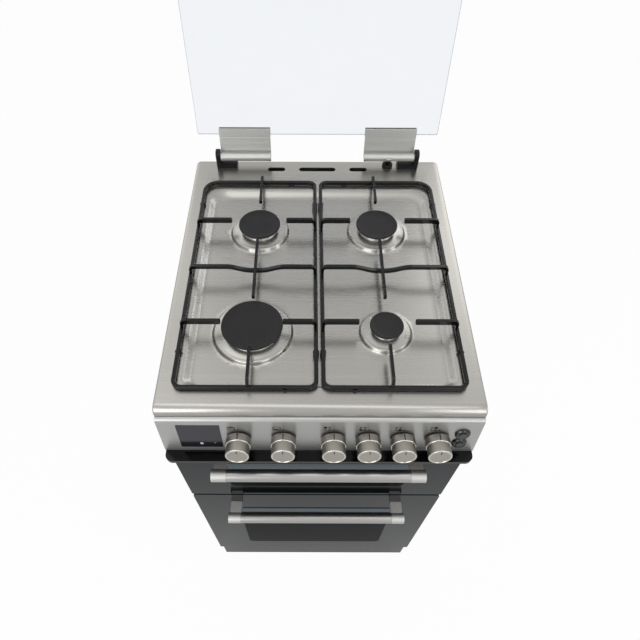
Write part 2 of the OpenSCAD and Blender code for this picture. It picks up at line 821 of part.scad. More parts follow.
module support_feet(s) {
    h = bar_w / 2;
    yr = ry(support_rear + h);
    yf = ry(support_front - h);
    color("#1c1c1e") mirror([s < 0 ? 1 : 0, 0, 0]) {
        for (y = [yr, yf]) rubber(rubber_front_x, y, hob_z, rubber_d, 90);
        for (k = rubber_side_shares)
            rubber(support_out - h, yr + (yf - yr) * k, hob_z, rubber_d, 0);
        for (y = [yr + (yf - yr) * rubber_side_shares[0], well_front_y + rubber_well_in])
            rubber(support_in + h, y, well_z, rubber_inner_d, 0);
    }
}

// A boot on the surface at low, with a groove that grips the bar
module rubber(x, y, low, d, turn) {
    foot = low + seat_gap;
    bar_low = hob_z + bar_top - bar_h;
    translate([x, y, 0]) rotate([0, 0, turn]) difference() {
        translate([0, 0, foot]) cylinder(h = bar_low + rubber_grip - foot, d = d, $fn = fine);
        block([-bar_w / 2, -d, bar_low], [bar_w / 2, d, bar_low + rubber_grip + overrun]);
    }
}

// Lid: two clamping brackets on barrels hold the glass
bracket_web = 4;
lid_corner_r = 12;
clamp_lip = 1.5;
bracket_low_share = 0.65;

module lid_glass() {
    color("#dfe9ee", 0.35) on_lid() translate([0, leaf_back + leaf_t + lid_glass_t, 0])
        rotate([90, 0, 0]) linear_extrude(lid_glass_t)
            outline(-glass_w / 2, glass_w / 2, glass_start, lid_len,
                    [door_small_r, door_small_r, lid_corner_r, lid_corner_r]);
}

module lid_brackets() {
    color("silver") for (s = [-1, 1]) on_lid() difference() {
        union() {
            translate([s * bracket_x - bracket_w / 2, 0, 0]) rotate([90, 0, 90])
                cylinder(h = bracket_w, r = barrel_r, $fn = fine);
            along_x(s * bracket_x - bracket_w / 2, s * bracket_x + bracket_w / 2) polygon([
                [0, -barrel_r * bracket_low_share], [leaf_back, -barrel_r * bracket_low_share / 2],
                [leaf_back + leaf_t, 0], [leaf_back + leaf_t, glass_start - bracket_web],
                [glass_back + clamp_t, glass_start - bracket_web], [glass_back + clamp_t, bracket_len],
                [glass_back, bracket_len], [glass_back, glass_start],
                [leaf_back + leaf_t, glass_start], [leaf_back + leaf_t, bracket_len],
                [leaf_back - clamp_lip, bracket_len], [leaf_back - clamp_lip, glass_start - bracket_web / 2],
                [leaf_back, glass_start - bracket_web / 2], [leaf_back, barrel_r * bracket_low_share],
                [0, barrel_r * bracket_low_share]
            ]);
        }
        translate([s * bracket_x - bracket_w / 2 - overrun, 0, 0]) rotate([90, 0, 90])
            cylinder(h = bracket_w + 2 * overrun, r = lid_pin_r + run_fit, $fn = fine);
    }
    color("silver") on_lid() along_x(plunger_x - plunger_head_r, plunger_x + plunger_head_r) difference() {
        union() {
            translate([-barrel_r - plunger_travel + cam_r, 0]) circle(cam_r, $fn = fine);
            translate([-barrel_r - plunger_travel + cam_r, -cam_r])
                square([barrel_r / 2 + plunger_travel, 2 * cam_r]);
        }
        circle(barrel_r, $fn = fine);
    }
}

// Hinge blocks on the hob's rear rim carry the pins
block_gap = 0.6;
block_w = 8.5;
block_len = 41;
block_deep = 21;
block_foot_h = 8;
block_up = 14.5;
block_top_r = 8;

module lid_hinge_blocks() {
    color("#222326") for (s = [-1, 1]) {
        x0 = bracket_x + bracket_w / 2 + block_gap;
        y0 = ry(lid_in) - block_deep / 2;
        mirror([s < 0 ? 1 : 0, 0, 0]) difference() {
            union() {
                along_x(x0, x0 + block_w) outline(
                    y0, y0 + block_deep, hob_z, hob_z + lid_up + block_up,
                    [door_small_r, door_small_r, block_top_r, block_top_r]
                );
                block([x0 + block_w - block_len, y0, hob_z],
                      [x0 + block_w / 2, y0 + block_deep, hob_z + block_foot_h]);
            }
            translate([x0 - overrun, ry(lid_in), hob_z + lid_up]) rotate([90, 0, 90])
                cylinder(h = block_w + 2 * overrun, r = lid_pin_r + run_fit, $fn = fine);
        }
    }
}

module lid_hinge_pins() {
    color("silver") for (s = [-1, 1]) mirror([s < 0 ? 1 : 0, 0, 0])
        translate([bracket_x - bracket_w / 2 + block_gap, ry(lid_in), hob_z + lid_up]) rotate([90, 0, 90])
            cylinder(h = bracket_w + block_w, r = lid_pin_r, $fn = fine);
}

// Gas shut-off under the right-hand barrel: a cam on the barrel presses the pin as the lid closes
plunger_r = 3.5;
cam_r = 2;
collar_h = 6;
collar_edge = 1.5;
plunger_head_r = 5;
plunger_head_h = 3;
valve_r = 9;
valve_h = 24;
stem_low_z = hob_z - hob_t - valve_h / 2;

module plunger_collar() {
    color("#222326") translate([plunger_x, ry(lid_in), 0]) difference() {
        union() {
            rotate_extrude($fn = fine) translate([0, hob_z]) polygon([
                [0, 0], [collar_d / 2, 0], [collar_d / 2, collar_h - collar_edge],
                [collar_d / 2 - collar_edge, collar_h], [0, collar_h]
            ]);
            translate([0, 0, hob_z - hob_t - valve_h]) cylinder(h = valve_h, r = valve_r, $fn = fine);
        }
        translate([0, 0, stem_low_z - plunger_travel - seat_gap])
            cylinder(h = valve_h + collar_h, r = plunger_r + run_fit, $fn = fine);
        translate([0, 0, hob_z + collar_h - plunger_travel])
            cylinder(h = collar_h, r = plunger_head_r + seat_gap, $fn = fine);
    }
}

module lid_plunger() {
    top = hob_z + lid_up - barrel_r - seat_gap;
    color("lightgray") translate([plunger_x, ry(lid_in), 0]) {
        translate([0, 0, stem_low_z]) cylinder(h = top - stem_low_z, r = plunger_r, $fn = fine);
        translate([0, 0, top - plunger_head_h]) cylinder(h = plunger_head_h, r = plunger_head_r, $fn = fine);
    }
}

// Control panel: a folded sheet with a rounded top, closed at both ends
panel_edge_r = 6.5;
panel_return = 22;
quarter_turn = 90;
spindle_hole_r = 7;
button_hole_r = button_d / 2 + 2;

module panel_profile(inset) {
    r = panel_edge_r - inset;
    rise = panel_edge_r * (1 - sin(panel_lean)) / cos(panel_lean);
    c = [face_y + panel_in + rise, panel_top_z - panel_edge_r];
    back = side_front_y + (inset > 0 ? overrun : 0);
    foot = panel_foot_z + inset;
    foot_y = panel_foot_y + inset / cos(panel_lean) + inset * tan(panel_lean);
    polygon(concat(
        [[back, foot], [back, panel_top_z - inset]],
        arc(c[0], c[1], r, quarter_turn, 2 * quarter_turn - panel_lean, 8),
        [[foot_y, foot]]
    ));
}

module control_panel() {
    color("silver") difference() {
        union() {
            along_x(-door_half, door_half) difference() {
                panel_profile(0);
                panel_profile(sheet_t);
                translate([panel_foot_y + panel_return, panel_foot_z - overrun])
                    square([body_depth, panel_h / 2]);
            }
            for (x = [-door_half, door_half - sheet_t]) along_x(x, x + sheet_t) panel_profile(0);
        }
        for (x = knob_xs) on_panel(x, knob_down)
            translate([0, 0, -panel_edge_r]) cylinder(h = panel_edge_r * 2, r = spindle_hole_r, $fn = fine);
        for (i = [0, 1]) on_panel(button_x, button_down + i * button_pitch)
            translate([0, 0, -panel_edge_r]) cylinder(h = panel_edge_r * 2, r = button_hole_r, $fn = fine);
    }
}

// Timer: a glass plate with a darker strip of touch keys along its foot
timer_t = 0.8;
timer_r = 1.5;

module timer_display() {
    color("#3c3c42") on_panel(-timer_x, timer_down)
        linear_extrude(timer_t)
            outline(-timer_w / 2, timer_w / 2, -timer_h / 2, timer_h / 2, [for (i = [0:3]) timer_r]);
}

// Knobs: a skirt with a rim, a grip and a mark on the face; each slides on its spindle to turn it
skirt_low = knob_push + seat_gap;
knob_edge = 1.2;
mark_l = 9;
mark_w = 1.4;
mark_deep = 0.6;
spindle_out = 22;
flat_in = 1;

module spindle_section(r) {
    intersection() {
        circle(r, $fn = fine);
        translate([-2 * r, -2 * r]) square([4 * r, 3 * r - flat_in]);
    }
}

module knob(i) {
    color("#b9b6b0") on_panel(knob_xs[i], knob_down) difference() {
        rotate_extrude($fn = 96) polygon([
            [0, skirt_low], [skirt_d / 2 - knob_edge, skirt_low], [skirt_d / 2, skirt_low + knob_edge],
            [skirt_d / 2, skirt_top - knob_edge / 2], [skirt_d / 2 - knob_edge / 2, skirt_top],
            [grip_d / 2, skirt_top], [grip_d / 2, knob_top - knob_edge], [grip_d / 2 - knob_edge, knob_top],
            [0, knob_top]
        ]);
        translate([0, 0, skirt_low - overrun])
            linear_extrude(spindle_out + knob_push + seat_gap - skirt_low + overrun)
            spindle_section(spindle_r + run_fit);
        translate([-mark_w / 2, grip_d / 2 - mark_l - knob_edge, knob_top - mark_deep])
            cube([mark_w, mark_l, knob_edge]);
    }
}

// Taps on the gas rail, with their D-shaped spindles
tap_r = 12;
tap_top = 9;
tap_len = 32;
spindle_in = 12;
rail_r = 9;
rail_back = tap_top + tap_len + seat_gap + rail_r;
rail_y = face_y + panel_in - knob_down * sin(panel_lean) + rail_back * cos(panel_lean);
inlet_z = panel_top_z - knob_down * cos(panel_lean) - rail_back * sin(panel_lean);
inlet_out = 14;

module spindle(i) {
    color("gold") on_panel(knob_xs[i], knob_down) translate([0, 0, -tap_top - spindle_in])
        linear_extrude(spindle_out + tap_top + spindle_in) spindle_section(spindle_r);
}

module gas_taps() {
    color("goldenrod") for (x = knob_xs) on_panel(x, knob_down) difference() {
        translate([0, 0, -tap_top - tap_len]) cylinder(h = tap_len, r = tap_r, $fn = fine);
        translate([0, 0, -tap_top - spindle_in - seat_gap])
            cylinder(h = tap_len, r = spindle_r + run_fit, $fn = fine);
    }
}

module gas_rail() {
    color("lightgray") {
        translate([-knob_left_out - 2 * tap_r, rail_y, inlet_z]) rotate([0, 90, 0])
            cylinder(h = knob_left_out + 2 * tap_r + inlet_x + 2 * pipe_r, r = rail_r, $fn = fine);
        translate([inlet_x, rail_y, inlet_z]) rotate([-90, 0, 0])
            cylinder(h = rear_in_y - rail_y + sheet_t, r = pipe_r, $fn = fine);
        translate([inlet_x, rear_in_y, inlet_z]) rotate([-90, 0, 0])
            cylinder(h = inlet_out + sheet_t, r = inlet_r, $fn = fine);
    }
}

// Push buttons in round bezels
bezel_h = 4;
button_h = bezel_h + button_travel / 2;
button_in = 9;

module button_bezels() {
    color("#2b2c2f") for (i = [0, 1]) on_panel(button_x, button_down + i * button_pitch) difference() {
        union() {
            rotate_extrude($fn = fine) polygon([
                [0, 0], [bezel_d / 2, 0], [bezel_d / 2, bezel_h / 2],
                [bezel_d / 2 - bezel_h / 2, bezel_h], [0, bezel_h]
            ]);
            translate([0, 0, -button_in])
                cylinder(h = button_in + overrun, r = button_hole_r - seat_gap, $fn = fine);
        }
        translate([0, 0, -button_in - overrun])
            cylinder(h = button_in + bezel_h + 2 * overrun, r = button_d / 2 + run_fit, $fn = fine);
    }
}

module button(i) {
    color("#3a3b3f") on_panel(button_x, button_down + i * button_pitch)
        translate([0, 0, -button_in]) cylinder(h = button_in + button_h, d = button_d, $fn = fine);
}

// Ledge that keeps the oven's heat off the panel
module ledge() {
    color("#111214") translate([0, 0, ledge_low_z]) linear_extrude(ledge_t)
        outline(-half_w + ledge_in, half_w - ledge_in, face_y - ledge_out, side_front_y,
                [ledge_r, ledge_r, door_small_r, door_small_r]);
}

// Doors: outer glass, a folded frame behind it, inner glass, and a bar handle on two arms
door_frame_t = 1.5;
inner_glass_in = 6;
clevis_w = 30;
clevis_gap = 0.5;
door_pin_r = 3;
arm_eye = 5.2;
door_edge = 2;

// A door's outer glass
module door_glass(low, high, top_r) {
    color("#101214") upright(face_y, face_y + door_glass_t)
        outline(-door_half, door_half, low, high, [door_small_r, door_small_r, top_r, top_r]);
}

// A door's frame: a shallow box with a window, and a slotted block at each hinge
module door_frame(low, high, window) {
    y0 = face_y + door_glass_t;
    y1 = face_y + door_t;
    pz = low + door_pin_in;
    py = face_y + door_pin_in;
    rs = [for (i = [0:3]) door_small_r];
    rw = [for (i = [0:3]) cavity_r];
    in = door_edge + door_frame_t;
    color("#1d1f22") difference() {
        union() {
            difference() {
                upright(y0, y1)
                    outline(-door_half + door_edge, door_half - door_edge,
                            low + door_edge, high - door_edge, rs);
                upright(y0 - overrun, y1 - door_frame_t)
                    outline(-door_half + in, door_half - in, low + in, high - in, rs);
                upright(y0, y1 + overrun) outline(-window_w / 2, window_w / 2, window[0], window[1], rw);
            }
            for (s = [-1, 1])
                block([s * hinge_x - clevis_w / 2, y0, low + door_edge],
                      [s * hinge_x + clevis_w / 2, y1, low + 2 * door_pin_in]);
        }
        for (s = [-1, 1]) {
            block([s * hinge_x - arm_t / 2 - clevis_gap, py - arm_eye - clevis_gap, low - overrun],
                  [s * hinge_x + arm_t / 2 + clevis_gap, y1 + overrun, pz + arm_eye + clevis_gap]);
            translate([s * hinge_x - clevis_w, py, pz]) rotate([90, 0, 90])
                cylinder(h = 2 * clevis_w, r = door_pin_r + run_fit, $fn = fine);
        }
    }
}

module inner_glass(window) {
    y1 = face_y + door_t - door_frame_t;
    w = window_w / 2 + inner_glass_in;
    color("#8fa0a4", 0.5) upright(y1 - door_glass_t, y1)
        outline(-w, w, window[0] - inner_glass_in, window[1] + inner_glass_in, [for (i = [0:3]) cavity_r]);
}

module handle_bar(z) {
    color("silver") translate([-handle_l / 2 + handle_end_l, face_y - handle_out, z]) rotate([0, 90, 0])
        cylinder(h = handle_l - 2 * handle_end_l, d = handle_d - 2 * seat_gap, $fn = fine);
}

module handle_ends(z) {
    color("lightgray") for (s = [-1, 1]) mirror([s < 0 ? 1 : 0, 0, 0]) {
        translate([handle_l / 2 - handle_end_l, face_y - handle_out, z]) rotate([0, 90, 0])
            cylinder(h = handle_end_l, d = handle_d, $fn = fine);
        block([handle_l / 2 - handle_end_l, face_y - handle_out, z - handle_arm_h / 2],
              [handle_l / 2 - door_small_r, face_y, z + handle_arm_h / 2]);
    }
}

upper_handle_z = upper_top_z - upper_handle_down;
lower_handle_z = lower_top_z - lower_handle_down;
window_margin = 12;
upper_window = [upper_floor_z + window_margin, upper_floor_z + upper_oven_h - window_margin];
lower_window = [lower_floor_z + window_margin, lower_floor_z + lower_oven_h - window_margin];

// Hinge brackets on the front frame, each with the pin that its door turns on
module door_hinge_brackets() {
    color("gray") for (pz = door_pins, s = [-1, 1]) {
        py = face_y + door_pin_in;
        translate([s * hinge_x - arm_t / 2, 0, 0]) rotate([90, 0, 90]) linear_extrude(arm_t) {
            translate([py, pz]) circle(arm_eye, $fn = fine);
            translate([py, pz - arm_eye]) square([frame_y - py, arm_eye * 2]);
        }
        translate([s * hinge_x - clevis_w / 2, py, pz]) rotate([90, 0, 90])
            cylinder(h = clevis_w, r = door_pin_r, $fn = fine);
    }
}

// Door seals round the two oven mouths
seal_w = 9;
seal_out = 6;

module mouth_ring(o, out, r) {
    w = oven_w / 2 + out;
    outline(-w, w, o[0] - out, o[0] + o[1] + out, [for (i = [0:3]) r]);
}

module door_seals() {
    color("#2a2a2c") for (o = [[upper_floor_z, upper_oven_h], [lower_floor_z, lower_oven_h]])
        upright(frame_y - door_back_gap + seat_gap, frame_y) difference() {
            mouth_ring(o, seal_out, cavity_r + seal_out);
            mouth_ring(o, seal_out - seal_w, cavity_r);
        }
}

// Grill burner under the upper oven's roof, and the oven burner at the back of the lower oven's floor
grill_w = 280;
grill_l = 150;
grill_h = 16;
grill_in = 90;
tube_r = 10;
tube_back = 60;

module oven_burners() {
    top = upper_floor_z + upper_oven_h;
    y0 = frame_y + grill_in;
    color("gray") {
        translate([0, 0, top - grill_h]) linear_extrude(grill_h - seat_gap)
            outline(-grill_w / 2, grill_w / 2, y0, y0 + grill_l, [for (i = [0:3]) cavity_r]);
        translate([0, y0 + grill_l, top - grill_h / 2]) rotate([-90, 0, 0])
            cylinder(
                h = upper_oven_depth + frame_t - grill_in - grill_l - seat_gap,
                r = grill_h / 2 - seat_gap, $fn = fine
            );
    }
    yb = frame_y + frame_t + lower_oven_depth - tube_back;
    color("gray") difference() {
        translate([-grill_w / 2, yb, lower_floor_z + tube_r + seat_gap]) rotate([0, 90, 0])
            cylinder(h = grill_w, r = tube_r, $fn = fine);
        translate([-grill_w / 2 + tube_r, yb, lower_floor_z + tube_r + seat_gap]) rotate([0, 90, 0])
            cylinder(h = grill_w, r = tube_r - sheet_t, $fn = fine);
    }
}

// Wire shelves resting on the ribs: two side wires joined by end wires, with thinner wires between
shelf_end_d = 5;
shelf_horn = 6;

module wire(p, q, z, d) {
    v = q - p;
    translate([p[0], p[1], z]) rotate([0, 0, atan2(v[1], v[0])]) rotate([0, 90, 0])
        cylinder(h = norm(v), d = d, $fn = coarse);
}

module wire_shelf(z, depth) {
    x = oven_w / 2 - overrun - shelf_wire_d / 2;
    y0 = frame_y + frame_t + cavity_r + shelf_wire_d;
    y1 = frame_y + frame_t + depth - cavity_r - shelf_wire_d;
    n = floor(2 * x / shelf_pitch);
    for (s = [-1, 1]) wire([s * x, y0 - shelf_horn], [s * x, y1 + shelf_horn], z, shelf_wire_d);
    for (y = [y0, y1]) wire([-x, y], [x, y], z, shelf_end_d);
    for (i = [1:n - 1]) wire([x * (2 * i / n - 1), y0], [x * (2 * i / n - 1), y1], z, shelf_bar_d);
}

module oven_shelves() {
    lift = rib_h + shelf_wire_d / 2 + seat_gap;
    color("gainsboro") for (k = [0, 1])
        wire_shelf(lower_floor_z + lower_oven_h * lower_rib_shares[k] + lift, lower_oven_depth);
}

// Grill pan on the upper oven's ribs
pan_wall = 1.2;
pan_in = 12;

module grill_pan() {
    z = upper_floor_z + upper_oven_h * upper_rib_shares[0] + rib_h + seat_gap;
    w = oven_w / 2 - rib_out - seat_gap * 4;
    y0 = frame_y + frame_t + cavity_r;
    y1 = frame_y + frame_t + upper_oven_depth - cavity_r;
    rs = [for (i = [0:3]) cavity_r];
    color("#2f3338") difference() {
        union() {
            translate([0, 0, z]) linear_extrude(pan_wall)
                outline(-oven_w / 2 + overrun, oven_w / 2 - overrun, y0, y1, rs);
            translate([0, 0, z + pan_wall - grill_pan_h]) linear_extrude(grill_pan_h)
                outline(-w, w, y0 + pan_in, y1 - pan_in, rs);
        }
        translate([0, 0, z + 2 * pan_wall - grill_pan_h]) linear_extrude(grill_pan_h)
            outline(-w + pan_wall, w - pan_wall, y0 + pan_in + pan_wall, y1 - pan_in - pan_wall, rs);
    }
}

side_panel(-1);  // side_panel_left
side_panel(1);  // side_panel_right
rear_panel();
base_tray();
plinth();
levelling_feet();
front_frame();
hob_top();
burner_cups();
burner_crowns();
burner_caps();
electrodes();
flue_duct();
pan_support(-1);  // pan_support_left
pan_support(1);  // pan_support_right
support_feet(-1);  // support_feet_left
support_feet(1);  // support_feet_right
lid_glass();
lid_brackets();
lid_hinge_blocks();
lid_hinge_pins();
plunger_collar();
lid_plunger();
control_panel();
timer_display();
knob(0);  // knob_1
knob(1);  // knob_2
knob(2);  // knob_3
knob(3);  // knob_4
knob(4);  // knob_5
knob(5);  // knob_6
spindle(0);  // spindle_1
spindle(1);  // spindle_2
spindle(2);  // spindle_3
spindle(3);  // spindle_4
spindle(4);  // spindle_5
spindle(5);  // spindle_6
gas_taps();
gas_rail();
button_bezels();
button(0);  // ignition_button
button(1);  // light_button
ledge();
door_glass(upper_low_z, upper_top_z, door_small_r);  // upper_door_glass
door_frame(upper_low_z, upper_top_z, upper_window);  // upper_door_frame
inner_glass(upper_window);  // upper_inner_glass
handle_bar(upper_handle_z);  // upper_handle_bar
handle_ends(upper_handle_z);  // upper_handle_ends
door_glass(lower_low_z, lower_top_z, door_corner_r);  // lower_door_glass
door_frame(lower_low_z, lower_top_z, lower_window);  // lower_door_frame
inner_glass(lower_window);  // lower_inner_glass
handle_bar(lower_handle_z);  // lower_handle_bar
handle_ends(lower_handle_z);  // lower_handle_ends
door_hinge_brackets();
door_seals();
upper_cavity();
lower_cavity();
oven_burners();
oven_shelves();
grill_pan();
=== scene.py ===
"""Looks of a narrow freestanding gas cooker: hob, glass lid, control panel and two ovens.

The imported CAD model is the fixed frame. Each class below dresses one sub-assembly: it either
gives the CAD node its finish or builds a finer mesh that stands for it, in metres.
"""

import json
import logging
import math
from dataclasses import dataclass, field
from enum import Enum

import bmesh
import bpy
from mathutils import Matrix, Vector
from mathutils.geometry import delaunay_2d_cdt


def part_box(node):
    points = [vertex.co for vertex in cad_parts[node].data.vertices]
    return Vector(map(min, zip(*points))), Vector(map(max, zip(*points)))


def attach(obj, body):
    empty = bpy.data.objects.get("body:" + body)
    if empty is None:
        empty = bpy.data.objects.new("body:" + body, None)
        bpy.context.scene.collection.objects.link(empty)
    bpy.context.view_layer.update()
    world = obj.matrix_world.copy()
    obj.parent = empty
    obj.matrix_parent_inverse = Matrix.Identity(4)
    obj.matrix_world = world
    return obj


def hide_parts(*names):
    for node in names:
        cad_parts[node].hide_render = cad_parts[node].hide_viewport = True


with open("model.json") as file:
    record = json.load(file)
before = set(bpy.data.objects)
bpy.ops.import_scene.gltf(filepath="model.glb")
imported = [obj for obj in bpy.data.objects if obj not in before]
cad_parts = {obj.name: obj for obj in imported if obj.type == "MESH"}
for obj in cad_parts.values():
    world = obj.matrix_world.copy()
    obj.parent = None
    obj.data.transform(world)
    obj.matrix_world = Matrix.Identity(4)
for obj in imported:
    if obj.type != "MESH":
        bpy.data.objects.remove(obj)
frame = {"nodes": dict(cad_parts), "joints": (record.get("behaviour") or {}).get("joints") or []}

LOG = logging.getLogger("cooker")
MM = 0.001
ROOT = "cooker"
BACK = Vector((0, 1, 0))
FRONT = Vector((0, -1, 0))
# Faces round a circle, round one that shows close up and round a small one.
ROUND = 96
FINE = 128
COARSE = 64
# Edges under this angle are shaded smooth, in degrees.
SOFT_ANGLE = 30.0
# Strength of every bump, whose height is the finish's own.
RELIEF = 0.4
# Nearer to the axis than this, a profile's point lies on it.
ON_AXIS = 1e-7
# Points of the plan nearer than this count as one.
SAME_PLACE = 1e-6
# Least radius of an outline's corner.
LEAST_RADIUS = 0.05 * MM
# Settings that turn a direction of the piece into one of the scene.
TO_WORLD = {"vector_type": "VECTOR", "convert_from": "OBJECT", "convert_to": "WORLD"}
Point = tuple[float, float, float]
Flat = tuple[float, float]
Face = tuple[int, ...]
Mesh = tuple[list[Point], list[Face]]
Tree = bpy.types.NodeTree
Node = bpy.types.Node
Socket = bpy.types.NodeSocket
Piece = bpy.types.Object


class Grain(Enum):
    """Direction in which a metal was brushed, as the axis that the lines run along."""

    ACROSS = 0
    BACK = 1
    UP = 2


def linear(code: str) -> tuple[float, float, float, float]:
    """Turns an sRGB hex value into a linear colour.

    Args:
        code: six hex digits after a hash.

    Returns:
        Red, green, blue and an alpha of one.
    """
    values = [int(code[i : i + 2], 16) / 255 for i in (1, 3, 5)]
    out = [v / 12.92 if v <= 0.04045 else ((v + 0.055) / 1.055) ** 2.4 for v in values]
    return (out[0], out[1], out[2], 1.0)


def add(tree: Tree, kind: str, sets: dict | None = None, links: dict | None = None) -> Node:
    """Adds one node with its settings and links.

    Args:
        tree: the node tree to add to.
        kind: the node's type name without its ShaderNode prefix.
        sets: attribute or input values by name or input number.
        links: output sockets by input name or number.

    Returns:
        The new node.
    """
    node = tree.nodes.new("ShaderNode" + kind)
    for key, value in (sets or {}).items():
        if isinstance(key, str) and hasattr(node, key):
            setattr(node, key, value)
        else:
            node.inputs[key].default_value = value
    for key, socket in (links or {}).items():
        tree.links.new(socket, node.inputs[key])
    return node


def combine(tree: Tree, operation: str, first: Socket, second: Socket | float) -> Socket:
    """Works out one value from a socket and a second socket or number.

    Args:
        tree: the node tree to add to.
        operation: the Math node's operation.
        first: the first value's socket.
        second: the second value's socket, or the value itself.

    Returns:
        The result's socket.
    """
    sets, links = {"operation": operation}, {0: first}
    (sets if isinstance(second, float) else links)[1] = second
    return add(tree, "Math", sets, links).outputs[0]


def scaled(tree: Tree, scale: Point) -> Socket:
    """The place on the piece in its own frame, in cycles of a pattern."""
    place = add(tree, "TexCoord").outputs["Object"]
    return add(tree, "Mapping", {"Scale": scale}, {"Vector": place}).outputs[0]


def axes(tree: Tree) -> bpy.types.NodeOutputs:
    """The place on the piece in its own frame, as three distances in metres."""
    return add(tree, "SeparateXYZ", links={0: add(tree, "TexCoord").outputs["Object"]}).outputs


def fresh_tree(owner: bpy.types.Material | bpy.types.World) -> Tree:
    """Gives a material or the world an empty node tree.

    Args:
        owner: the material or the world.

    Returns:
        Its node tree.
    """
    owner.use_nodes = True
    owner.node_tree.nodes.clear()
    return owner.node_tree


@dataclass(frozen=True)
class Finish:
    """A surface as a maker names it, with the values that one shader takes.

    The default surface is a smooth moulded or painted one with a faint unevenness.
    """

    name: str
    colour: str
    metallic: float = 0.0
    roughness: float = 0.4
    specular: float = 0.5
    aniso: float = 0.0
    turn: float = 0.0
    clear: float = 0.0
    ior: float | None = None
    glint: str | None = None
    patch: float = 30 * MM
    tint: float = 0.04
    wear: float = 0.08
    bump: float = 0.02 * MM

    def stretch(self) -> Point:
        """Scale of the pattern along x, y and z, in cycles a metre."""
        return (1 / self.patch,) * 3

    def pattern(self, tree: Tree) -> Socket:
        """Makes the value from 0 to 1 that varies over the surface."""
        sets = {"Scale": 1.0, "Detail": 4.0, "Roughness": 0.6}
        return add(tree, "TexNoise", sets, {"Vector": scaled(tree, self.stretch())}).outputs["Fac"]

    def tone(self, tree: Tree, value: Socket) -> Socket:
        """Varies the colour a little to both sides.

        Args:
            tree: the material's node tree.
            value: the value that varies over the surface.

        Returns:
            The colour's socket.
        """
        base = linear(self.colour)[:3]
        dark = [c * (1 - self.tint) for c in base] + [1.0]
        light = [min(1.0, c * (1 + self.tint)) for c in base] + [1.0]
        return add(tree, "Mix", {"data_type": "RGBA", 6: dark, 7: light}, {0: value}).outputs[2]

    def tangent(self, tree: Tree) -> Socket | None:
        """The direction that draws the highlights out, where the surface has one."""
        return None

    def shader(self, tree: Tree) -> Node:
        """Builds the surface shader with its colour, roughness and bump.

        Args:
            tree: the material's node tree.

        Returns:
            The shader node.
        """
        value, tangent = self.pattern(tree), self.tangent(tree)
        least, most = self.roughness * (1 - self.wear), self.roughness * (1 + self.wear)
        rough = add(tree, "MapRange", {"To Min": least, "To Max": most}, {"Value": value})
        relief = add(tree, "Bump", {"Strength": RELIEF, "Distance": self.bump}, {"Height": value})
        sets = {
            "Metallic": self.metallic,
            "Specular IOR Level": self.specular,
            "Anisotropic": self.aniso,
            "Anisotropic Rotation": self.turn,
            "Transmission Weight": self.clear,
        }
        if self.ior is not None:
            sets["IOR"] = self.ior
        if self.glint:
            sets["Specular Tint"] = linear(self.glint)
        links = {"Roughness": rough.outputs[0], "Normal": relief.outputs[0]}
        links["Base Color"] = self.tone(tree, value)
        if tangent:
            links["Tangent"] = tangent
        return add(tree, "BsdfPrincipled", sets, links)

    def material(self) -> bpy.types.Material:
        """Makes the material once and returns it after that.

        Returns:
            The material.
        """
        made = bpy.data.materials.get(self.name)
        if made is None:
            made = bpy.data.materials.new(self.name)
            tree = fresh_tree(made)
            add(tree, "OutputMaterial", links={"Surface": self.shader(tree).outputs[0]})
        return made


@dataclass(frozen=True)
class Brushed(Finish):
    """Sheet or tube rubbed with an abrasive belt: long fine lines that stretch each highlight.

    The lines gather in streaks about 5 mm wide, with finer ones down to 0.3 mm inside them.
    A sheet that was pressed after it was rubbed carries its lines straight over every slope.
    """

    metallic: float = 1.0
    roughness: float = 0.34
    grain: Grain = Grain.ACROSS
    line: float = 5 * MM
    run: float = 2000 * MM
    pressed: bool = False
    aniso: float = 0.65
    turn: float = 0.25
    tint: float = 0.06
    wear: float = 0.14
    bump: float = 0.002 * MM

    def stretch(self) -> Point:
        """Long cycles along the grain and short ones across it.

        Returns:
            Cycles a metre along x, y and z.
        """
        scale = [1 / self.line] * 3
        scale[self.grain.value] = 1 / self.run
        if self.pressed:
            scale[2] = 1 / self.run
        return (scale[0], scale[1], scale[2])

    def tangent(self, tree: Tree) -> Socket:
        """The lines' own direction, turned with the piece."""
        along = tuple(float(axis == self.grain.value) for axis in range(3))
        return add(tree, "VectorTransform", TO_WORLD | {0: along}).outputs[0]


@dataclass(frozen=True)
class Spun(Finish):
    """Turned metal: rings round the piece's own axis, which draw a highlight out into a fan.

    Tool marks are about 0.1 mm apart, and are drawn 0.45 mm apart so that they show.
    """

    metallic: float = 1.0
    roughness: float = 0.28
    ring: float = 0.45 * MM
    aniso: float = 0.6
    tint: float = 0.08

    def pattern(self, tree: Tree) -> Socket:
        """Numbers the rings by the distance from the piece's axis and the height along it.

        Args:
            tree: the material's node tree.

        Returns:
            The socket of the value that varies.
        """
        x, y, z = axes(tree)
        flat = add(tree, "CombineXYZ", links={0: x, 1: y})
        far = add(tree, "VectorMath", {"operation": "LENGTH"}, {0: flat.outputs[0]})
        total = combine(tree, "ADD", far.outputs["Value"], z)
        count = combine(tree, "MULTIPLY", total, 1 / self.ring)
        sets = {"noise_dimensions": "1D", "Scale": 1.0, "Detail": 2.0}
        return add(tree, "TexNoise", sets, {"W": count}).outputs["Fac"]

    def tangent(self, tree: Tree) -> Socket:
        """Follows the rings."""
        return add(tree, "Tangent", {"direction_type": "RADIAL", "axis": "Z"}).outputs[0]


@dataclass(frozen=True)
class Enamel(Finish):
    """Vitreous enamel fired on steel: hard gloss over tiny pits, each about 0.6 mm across."""

    roughness: float = 0.22
    patch: float = 2.4 * MM
    tint: float = 0.12
    wear: float = 0.25
    bump: float = 0.03 * MM


